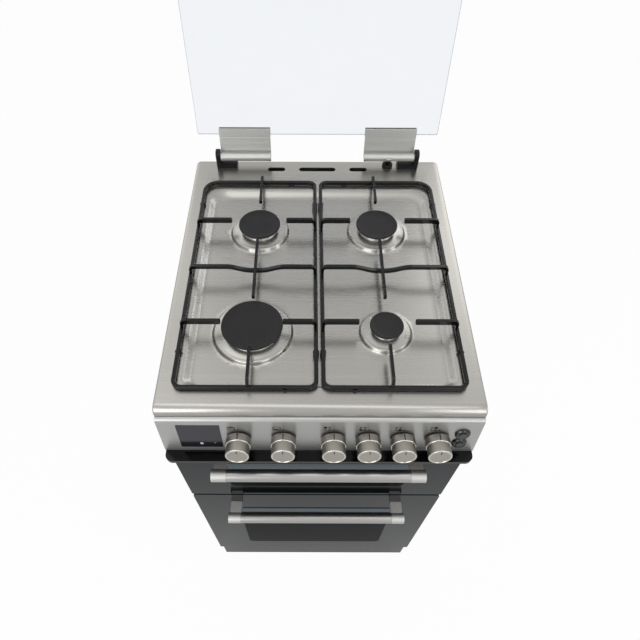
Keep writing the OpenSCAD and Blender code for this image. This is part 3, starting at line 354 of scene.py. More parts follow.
@dataclass(frozen=True)
class Cast(Finish):
    """Die-cast aluminium, tumbled: a soft metal sheen over a fine sandy skin of 0.8 mm grains."""

    metallic: float = 1.0
    roughness: float = 0.3
    patch: float = 0.8 * MM
    tint: float = 0.08
    wear: float = 0.2
    bump: float = 0.03 * MM


@dataclass(frozen=True)
class Spangled(Finish):
    """Hot-dip galvanised sheet: zinc crystals 12 mm across, each a slightly different grey."""

    metallic: float = 1.0
    roughness: float = 0.42
    patch: float = 12 * MM
    tint: float = 0.14

    def pattern(self, tree: Tree) -> Socket:
        """Gives each crystal its own value."""
        cells = add(tree, "TexVoronoi", {"Scale": 1.0}, {"Vector": scaled(tree, self.stretch())})
        return add(tree, "RGBToBW", links={0: cells.outputs["Color"]}).outputs[0]


@dataclass(frozen=True)
class ClearPane(Finish):
    """Toughened glass: clear, with the slight ripple that its rollers leave.

    Its index is set under that of real glass, so that it mirrors as little as in the photo.
    """

    roughness: float = 0.02
    clear: float = 1.0
    ior: float = 1.12
    patch: float = 60 * MM
    tint: float = 0.01
    bump: float = 0.004 * MM


@dataclass(frozen=True)
class Window(Finish):
    """Smoked see-through part of a door: nearly black, with a paler band of painted light for the
    lit inner pane.

    The band is measured down from the piece's own upper edge, which is its origin.
    """

    roughness: float = 0.05
    ior: float = 1.06
    band: Flat = (8 * MM, 30 * MM)
    fade: float = 3 * MM
    # Colour of the band: painted light, where the lit inner pane would show through.
    pale: str = "#596165"

    def tone(self, tree: Tree, value: Socket) -> Socket:
        """Paints the paler band, painted light of the inner pane, over the even smoked colour.

        Args:
            tree: the material's node tree.
            value: the value that varies, which even glass leaves out.

        Returns:
            The colour's socket.
        """
        height = axes(tree)[1]
        start, end = -self.band[0], -self.band[1]
        shares = []
        for low, high in ((start, start - self.fade), (end - self.fade, end)):
            sets = {"interpolation_type": "SMOOTHSTEP", "From Min": low, "From Max": high}
            shares.append(add(tree, "MapRange", sets, {"Value": height}).outputs[0])
        sets = {"data_type": "RGBA", 6: linear(self.colour), 7: linear(self.pale)}
        return add(tree, "Mix", sets, {0: combine(tree, "MULTIPLY", *shares)}).outputs[2]


# Belt-brushed 1.2 mm sheet: satin grey with highlights drawn from front to back.
HOB_STEEL = Brushed(
    "brushed_stainless_hob", "#A3A19C", roughness=0.27, pressed=True, tint=0.035, wear=0.07
)
# The same sheet, folded: a little cooler, with its lines along the panel.
PANEL_STEEL = Brushed("brushed_stainless_panel", "#A9A9A8", roughness=0.36)
# Tube polished finer than the sheet: a crisp light band and a dark one along its length.
HANDLE_STEEL = Brushed(
    "brushed_stainless_tube",
    "#A3A2A0",
    roughness=0.3,
    line=3 * MM,
    tint=0.04,
    wear=0.04,
    bump=0.0,
)
# Satin casting welded to the tube: paler than its reflections, so the arms stay light.
ARM_METAL = Cast("satin_handle_arm", "#BAB9B6", roughness=0.56, tint=0.05)
# Anodised extrusion: soft pale grey, with fine straight lines from the die.
BRACKET_METAL = Brushed(
    "satin_anodised_bracket",
    "#B4B5B2",
    roughness=0.46,
    line=3 * MM,
    aniso=0.3,
    tint=0.04,
    wear=0.05,
    bump=0.0,
)
# Turned and lacquered knob side: darker than its face, with fine rings.
KNOB_METAL = Spun("turned_knob_side", "#96938B", roughness=0.42, aniso=0.2, tint=0.14)
# The face's rings catch the light as a fan.
KNOB_FACE = Spun("spun_knob_face", "#A09C95", roughness=0.26, aniso=0.8, tint=0.14)
# Cut with a diamond tool: a thin mirror line round the knob's edges.
KNOB_RIM = Spun("diamond_cut_rim", "#C3C0B9", roughness=0.2, aniso=0.2)
# Tumbled die casting: bright satin with a fine sandy skin.
CROWN_METAL = Cast("cast_burner_alloy", "#EFEEEC", roughness=0.3, tint=0.03, bump=0.004 * MM)
# Matt enamel over pressed steel: charcoal with a pitted, broken highlight.
CAP_ENAMEL = Enamel("matt_cap_enamel", "#0F0E10", roughness=0.46, specular=0.3, tint=0.3)
# Gloss enamel over steel bar: near black with crisp light lines on its edges.
BAR_ENAMEL = Enamel(
    "gloss_bar_enamel", "#060708", roughness=0.16, specular=0.3, tint=0.2, bump=0.008 * MM
)
# Thick gloss enamel: deep black, one clean reflection along its front.
LEDGE_ENAMEL = Enamel("gloss_ledge_enamel", "#050506", roughness=0.14, specular=0.2)
# Oven enamel: dark grey with the fleck of a self-cleaning coat.
LINER_ENAMEL = Enamel("oven_liner_enamel", "#2B2E33", roughness=0.25, tint=0.3)
# Toughened glass fired with black frit behind it: a clear dark mirror.
BLACK_GLASS = Finish(
    "black_backed_glass",
    "#0B0E10",
    roughness=0.05,
    ior=1.2,
    glint="#E4F2FF",
    tint=0.03,
    bump=0.002 * MM,
)
# Smoked glass over a dark display, bluer than the doors.
TIMER_GLASS = Finish(
    "smoked_timer_glass", "#33333A", roughness=0.1, specular=0.2, tint=0.03, bump=0.002 * MM
)
# Dark print under the touch keys.
TIMER_STRIP = Finish("timer_key_strip", "#1E1E20", roughness=0.3, specular=0.02)
# Pale key symbols, printed flat.
PALE_PRINT = Finish("pale_key_print", "#B4BEC6", roughness=0.4, patch=2 * MM)
# Thick clear sheet: almost white, with cool edges.
LID_GLASS = ClearPane("clear_lid_glass", "#F3F5F9")
# Ground edge of the lid: the one place where the sheet shows its tint.
GLASS_EDGE = Finish("ground_glass_edge", "#C7D0D4", roughness=0.35, patch=4 * MM)
# Heat-reflecting sheet: faintly green.
INNER_GLASS = ClearPane("oven_inner_glass", "#DDE6E4")
# Glass-filled nylon: black with a dull broken sheen.
BLACK_NYLON = Finish(
    "moulded_black_nylon", "#08090A", roughness=0.5, specular=0.25, patch=3 * MM, tint=0.08
)
# Polished mould: black plastic with a clean highlight.
BEZEL_ABS = Finish("gloss_black_abs", "#121314", roughness=0.2, patch=5 * MM)
# Etched mould: dark grey plastic, dull.
BUTTON_ABS = Finish("etched_grey_abs", "#3A3C40", roughness=0.5, patch=0.9 * MM, tint=0.12)
# Dark ring in the joint of tube and arm: painted shadow of the hairline gap between them.
JOINT_SHADOW = Finish("painted_joint_shadow", "#0A0A0A", roughness=0.6, patch=2 * MM)
# Heat-proof rubber: dull black with dust in its skin.
RUBBER = Finish("black_silicone_rubber", "#101011", roughness=0.65, patch=2 * MM, tint=0.15)
# Powder coat over zinc: satin grey with an orange-peel skin.
SIDE_PAINT = Finish("satin_side_paint", "#9C9D9F", roughness=0.38, patch=1.6 * MM, bump=0.03 * MM)
# The same coat in black, for the plinth and the doors' inner frames.
BLACK_PAINT = Finish(
    "satin_black_paint", "#131415", roughness=0.36, patch=1.6 * MM, bump=0.03 * MM
)
# Unpainted sheet where nobody looks: zinc spangle.
GALVANISED = Spangled("galvanised_sheet", "#AFB2B5")
# Bright zinc plating on screws, pipes and hinges.
PLATED = Cast("zinc_plated_steel", "#C0C2C4", roughness=0.25, patch=6 * MM)
# Chromed wire of the shelves: a mirror along each rod.
CHROME_WIRE = Cast("chromed_wire", "#CFCFD0", roughness=0.08, patch=20 * MM, tint=0.03)
# Turned brass of taps and spindles: warm yellow with a satin skin.
BRASS = Cast("machined_brass", "#B98F4A", roughness=0.25, patch=4 * MM)
# White glazed insulator of the spark electrodes.
CERAMIC = Finish("glazed_ceramic", "#DDD9CE", roughness=0.15, patch=3 * MM)
# Thin anodised plate: flat pale grey.
PLATE_ALUMINIUM = Cast("anodised_data_plate", "#BFC0C1", roughness=0.4, patch=2 * MM)
# Pressed lamp glass: cloudy white over the bulb.
LAMP_GLASS = Finish("frosted_lamp_glass", "#DAD8D0", roughness=0.25, patch=4 * MM)
# Screen print on steel: flat dark grey.
PRINT = Finish("screen_print", "#101011", roughness=0.5, specular=0.2, patch=2 * MM)


def shade(mesh: bpy.types.Mesh, sharp: float) -> None:
    """Shades a mesh smooth, apart from its edges over an angle in degrees."""
    mesh.shade_smooth()
    mesh.set_sharp_from_angle(angle=math.radians(sharp))


def dress(node: str, finish: Finish, bevel: float = 0.0) -> Piece:
    """Gives a CAD node its finish, and soft edges if asked.

    Args:
        node: the CAD node's name.
        finish: the surface it gets.
        bevel: radius of its edges, in metres.

    Returns:
        The node's object.
    """
    piece = frame["nodes"][node]
    piece.data.materials.clear()
    piece.data.materials.append(finish.material())
    if bevel:
        edge = piece.modifiers.new("edge_radius", "BEVEL")
        edge.width = bevel
        edge.segments = 2
        edge.limit_method = "ANGLE"
        edge.angle_limit = math.radians(SOFT_ANGLE)
        edge.harden_normals = True
    shade(piece.data, SOFT_ANGLE)
    LOG.info("%s: %s", node, finish.name)
    return piece


def placed(name: str, data: bpy.types.ID, place: Matrix | None = None) -> Piece:
    """Puts a mesh, a lamp or a camera into the scene as an object.

    Args:
        name: the object's name.
        data: what it shows.
        place: where its own frame lies.

    Returns:
        The new object.
    """
    made = bpy.data.objects.new(name, data)
    bpy.context.scene.collection.objects.link(made)
    if place is not None:
        made.matrix_world = place
    return made


def piece_from(
    name: str,
    shape: Mesh,
    finish: Finish,
    body: str = ROOT,
    place: Matrix | None = None,
    stands_for: tuple[str, ...] = (),
    sharp: float = 32.0,
) -> Piece:
    """Makes a piece from a mesh in its own frame, puts it in place and lets it ride.

    Args:
        name: the piece's name.
        shape: its points in metres, and its faces.
        finish: its surface.
        body: the CAD body that it rides on.
        place: where its own frame lies in the cooker's.
        stands_for: CAD nodes that it replaces.
        sharp: edges over this angle stay sharp, in degrees.

    Returns:
        The new object.
    """
    mesh = bpy.data.meshes.new(name)
    mesh.from_pydata(shape[0], [], shape[1])
    mesh.validate()
    mesh.materials.append(finish.material())
    shade(mesh, sharp)
    piece = placed(name, mesh, place)
    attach(piece, body)
    if stands_for:
        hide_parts(*stands_for)
    LOG.info("%s: %s, %d faces", name, finish.name, len(mesh.polygons))
    return piece


def weld(piece: Piece, gap: float = 0.02 * MM, sharp: float = 40.0) -> None:
    """Merges points that fall together, turns all faces outward and shades the result.

    Args:
        piece: the piece, whose mesh is changed in place.
        gap: points nearer than this are merged, in metres.
        sharp: edges over this angle stay sharp, in degrees.
    """
    mesh = bmesh.new()
    mesh.from_mesh(piece.data)
    bmesh.ops.remove_doubles(mesh, verts=mesh.verts, dist=gap)
    bmesh.ops.recalc_face_normals(mesh, faces=mesh.faces)
    mesh.to_mesh(piece.data)
    mesh.free()
    shade(piece.data, sharp)


def joint(name: str) -> tuple[Vector, Vector]:
    """The place and the axis of a joint of the CAD model."""
    found = next(j for j in frame["joints"] if j["name"] == name)
    return Vector(found["pos_m"]), Vector(found["axis"])


def joined(shapes: list[Mesh]) -> Mesh:
    """Puts several meshes into one.

    Args:
        shapes: the meshes, in order.

    Returns:
        The points and faces.
    """
    points: list[Point] = []
    faces: list[Face] = []
    for more, sides in shapes:
        faces += [tuple(i + len(points) for i in side) for side in sides]
        points += more
    return points, faces


def level(points: list[Flat], height: float) -> list[Point]:
    """Lifts points of the plan to one height."""
    return [(x, y, height) for x, y in points]


def arc(centre: Flat, radius: float, start: float, end: float, steps: int = 6) -> list[Flat]:
    """Points along a circular arc, angles in degrees."""
    turns = [math.radians(start + (end - start) * i / steps) for i in range(steps + 1)]
    return [(centre[0] + radius * math.cos(a), centre[1] + radius * math.sin(a)) for a in turns]


def quarter(steps: int) -> list[float]:
    """Angles from 0 to 90 degrees, in radians."""
    return [math.pi / 2 * i / steps for i in range(steps + 1)]


def skin(rows: list[list[int]], closed: bool = True) -> list[Face]:
    """Joins rows of point numbers with faces, dropping the corners that fall together.

    Args:
        rows: rows of point numbers, all of one length.
        closed: whether each row's end joins its start.

    Returns:
        The faces.
    """
    faces = []
    for low, high in zip(rows, rows[1:]):
        count = len(low)
        for i in range(count if closed else count - 1):
            j = (i + 1) % count
            corners = list(dict.fromkeys((low[i], low[j], high[j], high[i])))
            if len(corners) > 2:
                faces.append(tuple(corners))
    return faces


def numbers(count: int, rows: int, first: int = 0) -> list[list[int]]:
    """Numbers of the points in rows of one length that follow each other."""
    return [list(range(first + k * count, first + (k + 1) * count)) for k in range(rows)]


def sheet(rows: list[list[Point]], closed: bool = True) -> Mesh:
    """Joins rows of points of one length into a surface."""
    return [p for row in rows for p in row], skin(numbers(len(rows[0]), len(rows)), closed)


def capped(rows: list[list[Point]]) -> Mesh:
    """Joins closed rows of points into a solid with flat ends.

    Args:
        rows: the rows, all of one length.

    Returns:
        The points and faces.
    """
    points, faces = sheet(rows)
    ends = numbers(len(rows[0]), len(rows))
    return points, faces + [tuple(reversed(ends[0])), tuple(ends[-1])]


def revolve(profile: list[Flat], segments: int = ROUND) -> Mesh:
    """Turns a profile of radius and height round the z axis.

    Args:
        profile: radius and height of each point, from the lowest to the highest.
        segments: number of faces round the axis.

    Returns:
        The points and faces.
    """
    points: list[Point] = []
    rows: list[list[int]] = []
    for radius, height in profile:
        if radius < ON_AXIS:
            rows.append([len(points)] * segments)
            points.append((0.0, 0.0, height))
            continue
        rows += numbers(segments, 1, len(points))
        points += level(arc((0, 0), radius, 0, 360, segments)[:-1], height)
    return points, skin(rows)


def rounded(
    x0: float, x1: float, y0: float, y1: float, radii: tuple, steps: int = 6
) -> list[Flat]:
    """Outline with its own radius at each corner: low left, low right, high right, high left.

    Args:
        x0, x1: its ends along x.
        y0, y1: its ends along y.
        radii: the four corner radii.
        steps: sides of each corner's arc.

    Returns:
        The outline, anticlockwise.
    """
    spots = [(x0, y0, 1, 1, 180), (x1, y0, -1, 1, 270), (x1, y1, -1, -1, 0), (x0, y1, 1, -1, 90)]
    out: list[Flat] = []
    for (x, y, sx, sy, start), r in zip(spots, radii):
        r = max(r, LEAST_RADIUS)
        out += arc((x + sx * r, y + sy * r), r, start, start + 90, steps)
    return out


def slab(x: Flat, y: Flat, z: Flat, radii: float | tuple, edge: float, steps: int = 3) -> Mesh:
    """A plate with rounded corners and softened edges.

    Args:
        x: its ends along x.
        y: its ends along y.
        z: its lower and upper faces.
        radii: one corner radius, or four as rounded() takes them.
        edge: radius of the edges.
        steps: faces across each edge.

    Returns:
        The points and faces.
    """
    corners = radii if isinstance(radii, tuple) else (radii,) * 4
    turns = quarter(steps)
    levels = [(edge * (1 - math.sin(a)), z[0] + edge * (1 - math.cos(a))) for a in turns]
    levels += [(edge * (1 - math.cos(a)), z[1] - edge * (1 - math.sin(a))) for a in turns]
    rows = []
    for inset, height in levels:
        less = tuple(max(r - inset, 0) for r in corners)
        ends = (x[0] + inset, x[1] - inset, y[0] + inset, y[1] - inset)
        rows.append(level(rounded(*ends, less), height))
    return capped(rows)


def smooth(t: float) -> float:
    """Eases from 0 to 1, flat at both ends."""
    t = min(1.0, max(0.0, t))
    return t * t * (3 - 2 * t)


def part_way(a: Flat, b: Flat, share: float) -> Flat:
    """The point at a share of the way from a to b."""
    return (a[0] + (b[0] - a[0]) * share, a[1] + (b[1] - a[1]) * share)


def spaced(a: float, b: float, step: float) -> list[float]:
    """Even values from a to b, about a step apart."""
    count = max(1, round(abs(b - a) / step))
    return [a + (b - a) * i / count for i in range(count + 1)]


def densify(loop: list[Flat], step: float) -> list[Flat]:
    """Adds points to a closed outline so that no side is longer than a step.

    Args:
        loop: the outline.
        step: the longest side allowed, in metres.

    Returns:
        The longer outline.
    """
    out: list[Flat] = []
    for (ax, ay), (bx, by) in zip(loop, loop[1:] + loop[:1]):
        count = max(1, round(math.dist((ax, ay), (bx, by)) / step))
        out += [(ax + (bx - ax) * i / count, ay + (by - ay) * i / count) for i in range(count)]
    return out


def inside(p: Flat, loop: list[Flat]) -> bool:
    """Whether a point lies inside a closed outline.

    Args:
        p: the point.
        loop: the outline.

    Returns:
        True where it lies inside.
    """
    found = False
    for a, b in zip(loop, loop[1:] + loop[:1]):
        if (a[1] > p[1]) == (b[1] > p[1]):
            continue
        if p[0] < (b[0] - a[0]) * (p[1] - a[1]) / (b[1] - a[1]) + a[0]:
            found = not found
    return found


def turned(place: Vector, x: Vector, y: Vector, z: Vector) -> Matrix:
    """Frame at a place with the given axes."""
    return Matrix.Translation(place) @ Matrix((x, y, z)).transposed().to_4x4()


def upright(place: Vector, outward: Vector) -> Matrix:
    """Frame whose z is outward and whose x is the cooker's x."""
    across = Vector((1, 0, 0))
    return turned(place, across, outward.cross(across), outward)


@dataclass
class Burner:
    """One burner's place and its cap's radius, read off the CAD cap."""

    name: str
    x: float
    y: float
    cap: float

    def ring(self, radius: float) -> list[Flat]:
        """A circle round the burner, in plan."""
        return arc((self.x, self.y), radius, 0, 360, ROUND)[:-1]


@dataclass
class Hob:
    """The pressed steel top: rolled front, spill well, burner seats and vent slots."""

    well_depth: float = 8 * MM
    well_side: float = 36 * MM
    well_rear: float = 89 * MM
    well_front: float = 27 * MM
    side_slope: float = 16 * MM
    rear_slope: float = 23 * MM
    front_slope: float = 8 * MM
    rear_radius: float = 30 * MM
    front_radius: float = 18 * MM
    seat_height: float = 6.5 * MM
    seat_cone: float = 2.6 * MM
    cone_shares: tuple = (0.15, 0.5, 0.85, 1.0)
    seat_out: float = 17.5 * MM
    seat_in: float = 9 * MM
    seat_crease: float = 0.65
    seat_step: float = 0.85
    seat_gap: float = 2 * MM
    overhang: float = 4.7 * MM
    crown_gap: float = 0.5 * MM
    edge: float = 2.6 * MM
    corner: float = 9 * MM
    roll: float = 14 * MM
    skirt: float = 15.5 * MM
    slope_steps: int = 12
    well_steps: int = 14
    corner_steps: int = 8
    edge_steps: int = 5
    grid: float = 7 * MM
    vent_in: float = 27 * MM
    vent_width: float = 12 * MM
    vent_round: float = 0.99
    vents: tuple = ((-84 * MM, 36 * MM), (0.0, 75 * MM), (84 * MM, 36 * MM))
    lip_drops: tuple = (0.0, 0.6 * MM, 2.4 * MM)
    sharp: float = 40.0
    burners: list[Burner] = field(default_factory=list)

    def __post_init__(self) -> None:
        """Reads the hob's box and the burners' places off the CAD nodes."""
        self.low, self.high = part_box("hob_top")
        self.floor = self.high.z - self.well_depth
        self.vent_y = self.high.y - self.vent_in
        middle = (self.low.y + self.high.y) / 2
        caps = frame["nodes"]["burner_caps"].data.vertices
        for row, sy in (("rear", 1), ("front", -1)):
            for side, sx in (("left", -1), ("right", 1)):
                mine = [v.co for v in caps if v.co.x * sx > 0 and (v.co.y - middle) * sy > 0]
                xs, ys = [c.x for c in mine], [c.y for c in mine]
                x, y = (min(xs) + max(xs)) / 2, (min(ys) + max(ys)) / 2
                self.burners.append(Burner(f"{row}_{side}", x, y, (max(xs) - min(xs)) / 2))

    def well_outline(self, share: float) -> list[Flat]:
        """Outline of the well between its floor, at share 0, and its rim, at share 1.

        Args:
            share: 0 for the floor's outline and 1 for the rim's.

        Returns:
            The outline, with as many points at every share.
        """
        half = self.high.x - self.well_side
        front = self.low.y + self.roll + self.well_front
        rear = self.high.y - self.well_rear
        radii = (self.front_radius, self.front_radius, self.rear_radius, self.rear_radius)
        rim = rounded(-half, half, front, rear, radii, self.well_steps)
        side, near, far = half - self.side_slope, front + self.front_slope, rear - self.rear_slope
        floor = rounded(-side, side, near, far, radii, self.well_steps)
        out: list[Flat] = []
        for i, (a, b) in enumerate(zip(floor, rim)):
            c, d = floor[(i + 1) % len(floor)], rim[(i + 1) % len(rim)]
            count = max(1, round(math.dist(b, d) / self.grid))
            for t in (k / count for k in range(count)):
                out.append(part_way(part_way(a, c, t), part_way(b, d, t), share))
        return out

    def slopes(self) -> Mesh:
        """The well's sloping sides and the raised burner seats, in regular rows.

        Returns:
            The points and faces.
        """
        floor, depth = self.floor, self.well_depth
        shares = [i / self.slope_steps for i in range(self.slope_steps + 1)]
        rows = [level(self.well_outline(t), floor + depth * smooth(t)) for t in shares]
        shapes = [sheet(rows)]
        for b in self.burners:
            rings = []
            for t in shares:
                radius = b.cap + self.seat_out + (self.seat_in - self.seat_out) * t
                crease = smooth(t / self.seat_crease) * self.seat_step
                rise = crease + smooth(t) * (1 - self.seat_step)
                rings.append(level(b.ring(radius), floor + self.seat_height * rise))
            for share in self.cone_shares:
                radius = b.cap + self.seat_in + (self.hole(b) - b.cap - self.seat_in) * share
                rise = self.seat_height + self.seat_cone * share
                rings.append(level(b.ring(radius), floor + rise))
            shapes.append(sheet(rings))
        return joined(shapes)

    def top(self) -> Mesh:
        """Triangulates the flat parts of the sheet in plan and lifts each point to its height.

        Returns:
            The points and faces of the flats inside the sheet's edges.
        """
        z, floor = self.high.z, self.floor
        plan: list[Flat] = []
        heights: list[float] = []
        edges: list[tuple[int, int]] = []
        rim, base, edge = self.well_outline(1), self.well_outline(0), self.boundary()
        loops = [(edge, z), *((self.vent(*v), z) for v in self.vents), (rim, z), (base, floor)]
        loops += [(b.ring(b.cap + self.seat_out), floor) for b in self.burners]
        for loop, height in loops:
            first, count = len(plan), len(loop)
            plan += loop
            heights += [height] * count
            edges += [(first + i, first + (i + 1) % count) for i in range(count)]
        y = self.low.y + self.roll + self.grid
        while y < self.high.y - self.grid:
            x = self.low.x + self.grid
            while x < self.high.x - self.grid / 2:
                if not inside((x, y), rim) and self.clear_of_vents((x, y)):
                    plan.append((x, y))
                    heights.append(z)
                elif inside((x, y), base) and self.off_seats((x, y), self.seat_gap):
                    plan.append((x, y))
                    heights.append(floor)
                x += self.grid
            y += self.grid
        flat = [Vector(p) for p in plan]
        verts, _, faces, origin, _, _ = delaunay_2d_cdt(flat, edges, [], 0, SAME_PLACE)
        points = [(v.x, v.y, heights[o[0]] if o else z) for v, o in zip(verts, origin)]
        kept = []
        for f in faces:
            middle = (sum(verts[i].x for i in f) / 3, sum(verts[i].y for i in f) / 3)
            if self.is_flat(middle, edge, rim, base):
                kept.append(tuple(f))
        return points, kept

    def off_seats(self, p: Flat, gap: float = 0.0) -> bool:
        """Whether a point of the plan keeps off every burner's seat."""
        return all(math.dist(p, (b.x, b.y)) > b.cap + self.seat_out + gap for b in self.burners)

    def hole(self, b: Burner) -> float:
        """Radius of the sheet's edge round a burner's crown, a hairline clear of it."""
        return b.cap - self.overhang + self.crown_gap

    def vent(self, x: float, length: float) -> list[Flat]:
        """Outline of a vent slot with round ends."""
        r, h, y = self.vent_width / 2, length / 2, self.vent_y
        return rounded(x - h, x + h, y - r, y + r, (r * self.vent_round,) * 4)

    def clear_of_vents(self, p: Flat) -> bool:
        """Whether a point of the plan keeps clear of the vent slots.

        Args:
            p: the point.

        Returns:
            True where it keeps clear.
        """
        if abs(p[1] - self.vent_y) > self.vent_width:
            return True
        return all(abs(p[0] - x) > length / 2 + self.grid / 2 for x, length in self.vents)

    def is_flat(self, p: Flat, edge: list[Flat], rim: list[Flat], base: list[Flat]) -> bool:
        """Whether a point of the plan lies on flat steel.

        Args:
            p: the point.
            edge: the sheet's outline.
            rim: the well's rim.
            base: the well's floor.

        Returns:
            True where it lies on the flat top or the well's flat floor.
        """
        if not inside(p, edge) or any(inside(p, self.vent(*v)) for v in self.vents):
            return False
        return inside(p, base) and self.off_seats(p) if inside(p, rim) else True

    def corners(self) -> tuple[float, float, float, float]:
        """Half width, front, rear and corner radius of the sheet inside its rounded edges."""
        e = self.edge
        return self.high.x - e, self.low.y + self.roll, self.high.y - e, self.corner - e

    def boundary(self) -> list[Flat]:
        """Plan outline of the flat sheet, inside its rounded edges.

        Returns:
            The outline, anticlockwise.
        """
        x, y0, y1, r = self.corners()
        loop = [(self.low.x + self.edge, y0), (x, y0)]
        loop += arc((x - r, y1 - r), r, 0, 90, self.corner_steps)
        loop += arc((self.low.x + self.edge + r, y1 - r), r, 90, 180, self.corner_steps)
        return densify(loop, self.grid)

    def side_strip(self) -> Mesh:
        """The rounded edge and turned-down skirt along the sides and the back.

        Returns:
            The points and faces.
        """
        e, z = self.edge, self.high.z
        x1, y0, y1, r = self.corners()
        half = [(x1, y) for y in spaced(y0, y1 - r, self.grid)]
        half += arc((x1 - r, y1 - r), r, 0, 90, self.corner_steps)[1:]
        path = half + [(x, y1) for x in spaced(x1 - r, -x1 + r, self.grid)][1:]
        path += [(-x, y) for x, y in reversed(half)][1:]
        outs = []
        for a, b in zip(path[:1] + path, path[1:] + path[-1:]):
            d = (Vector(b) - Vector(a)).normalized()
            outs.append(Vector((d.y, -d.x)))
        levels = [(e * math.sin(a), z - e * (1 - math.cos(a))) for a in quarter(self.edge_steps)]
        rows = []
        for out, height in [*levels, (e, z - self.skirt)]:
            rows.append([(x + n.x * out, y + n.y * out, height) for (x, y), n in zip(path, outs)])
        return sheet(rows, False)

    def front_roll(self) -> Mesh:
        """The rolled front edge with its rounded ends and the lip under it.

        Returns:
            The points and faces.
        """
        e, half = self.edge, self.high.x - self.edge
        y, z = self.low.y + self.roll, self.high.z - self.roll
        low = self.high.z - self.skirt
        ends = [
            (half + e * math.sin(a), self.roll - e + e * math.cos(a))
            for a in quarter(self.edge_steps)
        ]
        flats = [(x, self.roll) for x in spaced(self.low.x + e, half, self.grid * 2)[1:-1]]
        line = [(-x, r) for x, r in reversed(ends)] + flats + ends
        rows = [
            [(x, y - r * math.sin(a), z + r * math.cos(a)) for x, r in line]
            for a in quarter(self.slope_steps)
        ]
        rows.append([(x, y - r, low) for x, r in line])
        points, faces = sheet(rows, False)
        total, count = len(points), len(line)
        for first in (0, count - 1):
            points.append((points[first][0], y, low))
            faces.append((*range(first, total, count), len(points) - 1))
        return points, faces

    def lips(self) -> Mesh:
        """The sheet's thickness, turned down round each vent slot.

        Returns:
            The points and faces.
        """
        z = self.high.z
        loops = [self.vent(*v) for v in self.vents]
        return joined([sheet([level(p, z - drop) for drop in self.lip_drops]) for p in loops])

    def build(self) -> None:
        """Builds the pressing as one mesh that stands for the CAD node."""
        parts = [self.top(), self.slopes(), self.side_strip(), self.front_roll(), self.lips()]
        piece = piece_from(
            "hob_pressing", joined(parts), HOB_STEEL, stands_for=("hob_top",), sharp=self.sharp
        )
        weld(piece, sharp=self.sharp)


@dataclass(frozen=True)
class SoftBox:
    """A lamp: its middle, its width and height, its power and whether the lid's glass shows it."""

    name: str
    place: Point
    size: Flat
    watts: float
    through: bool = False


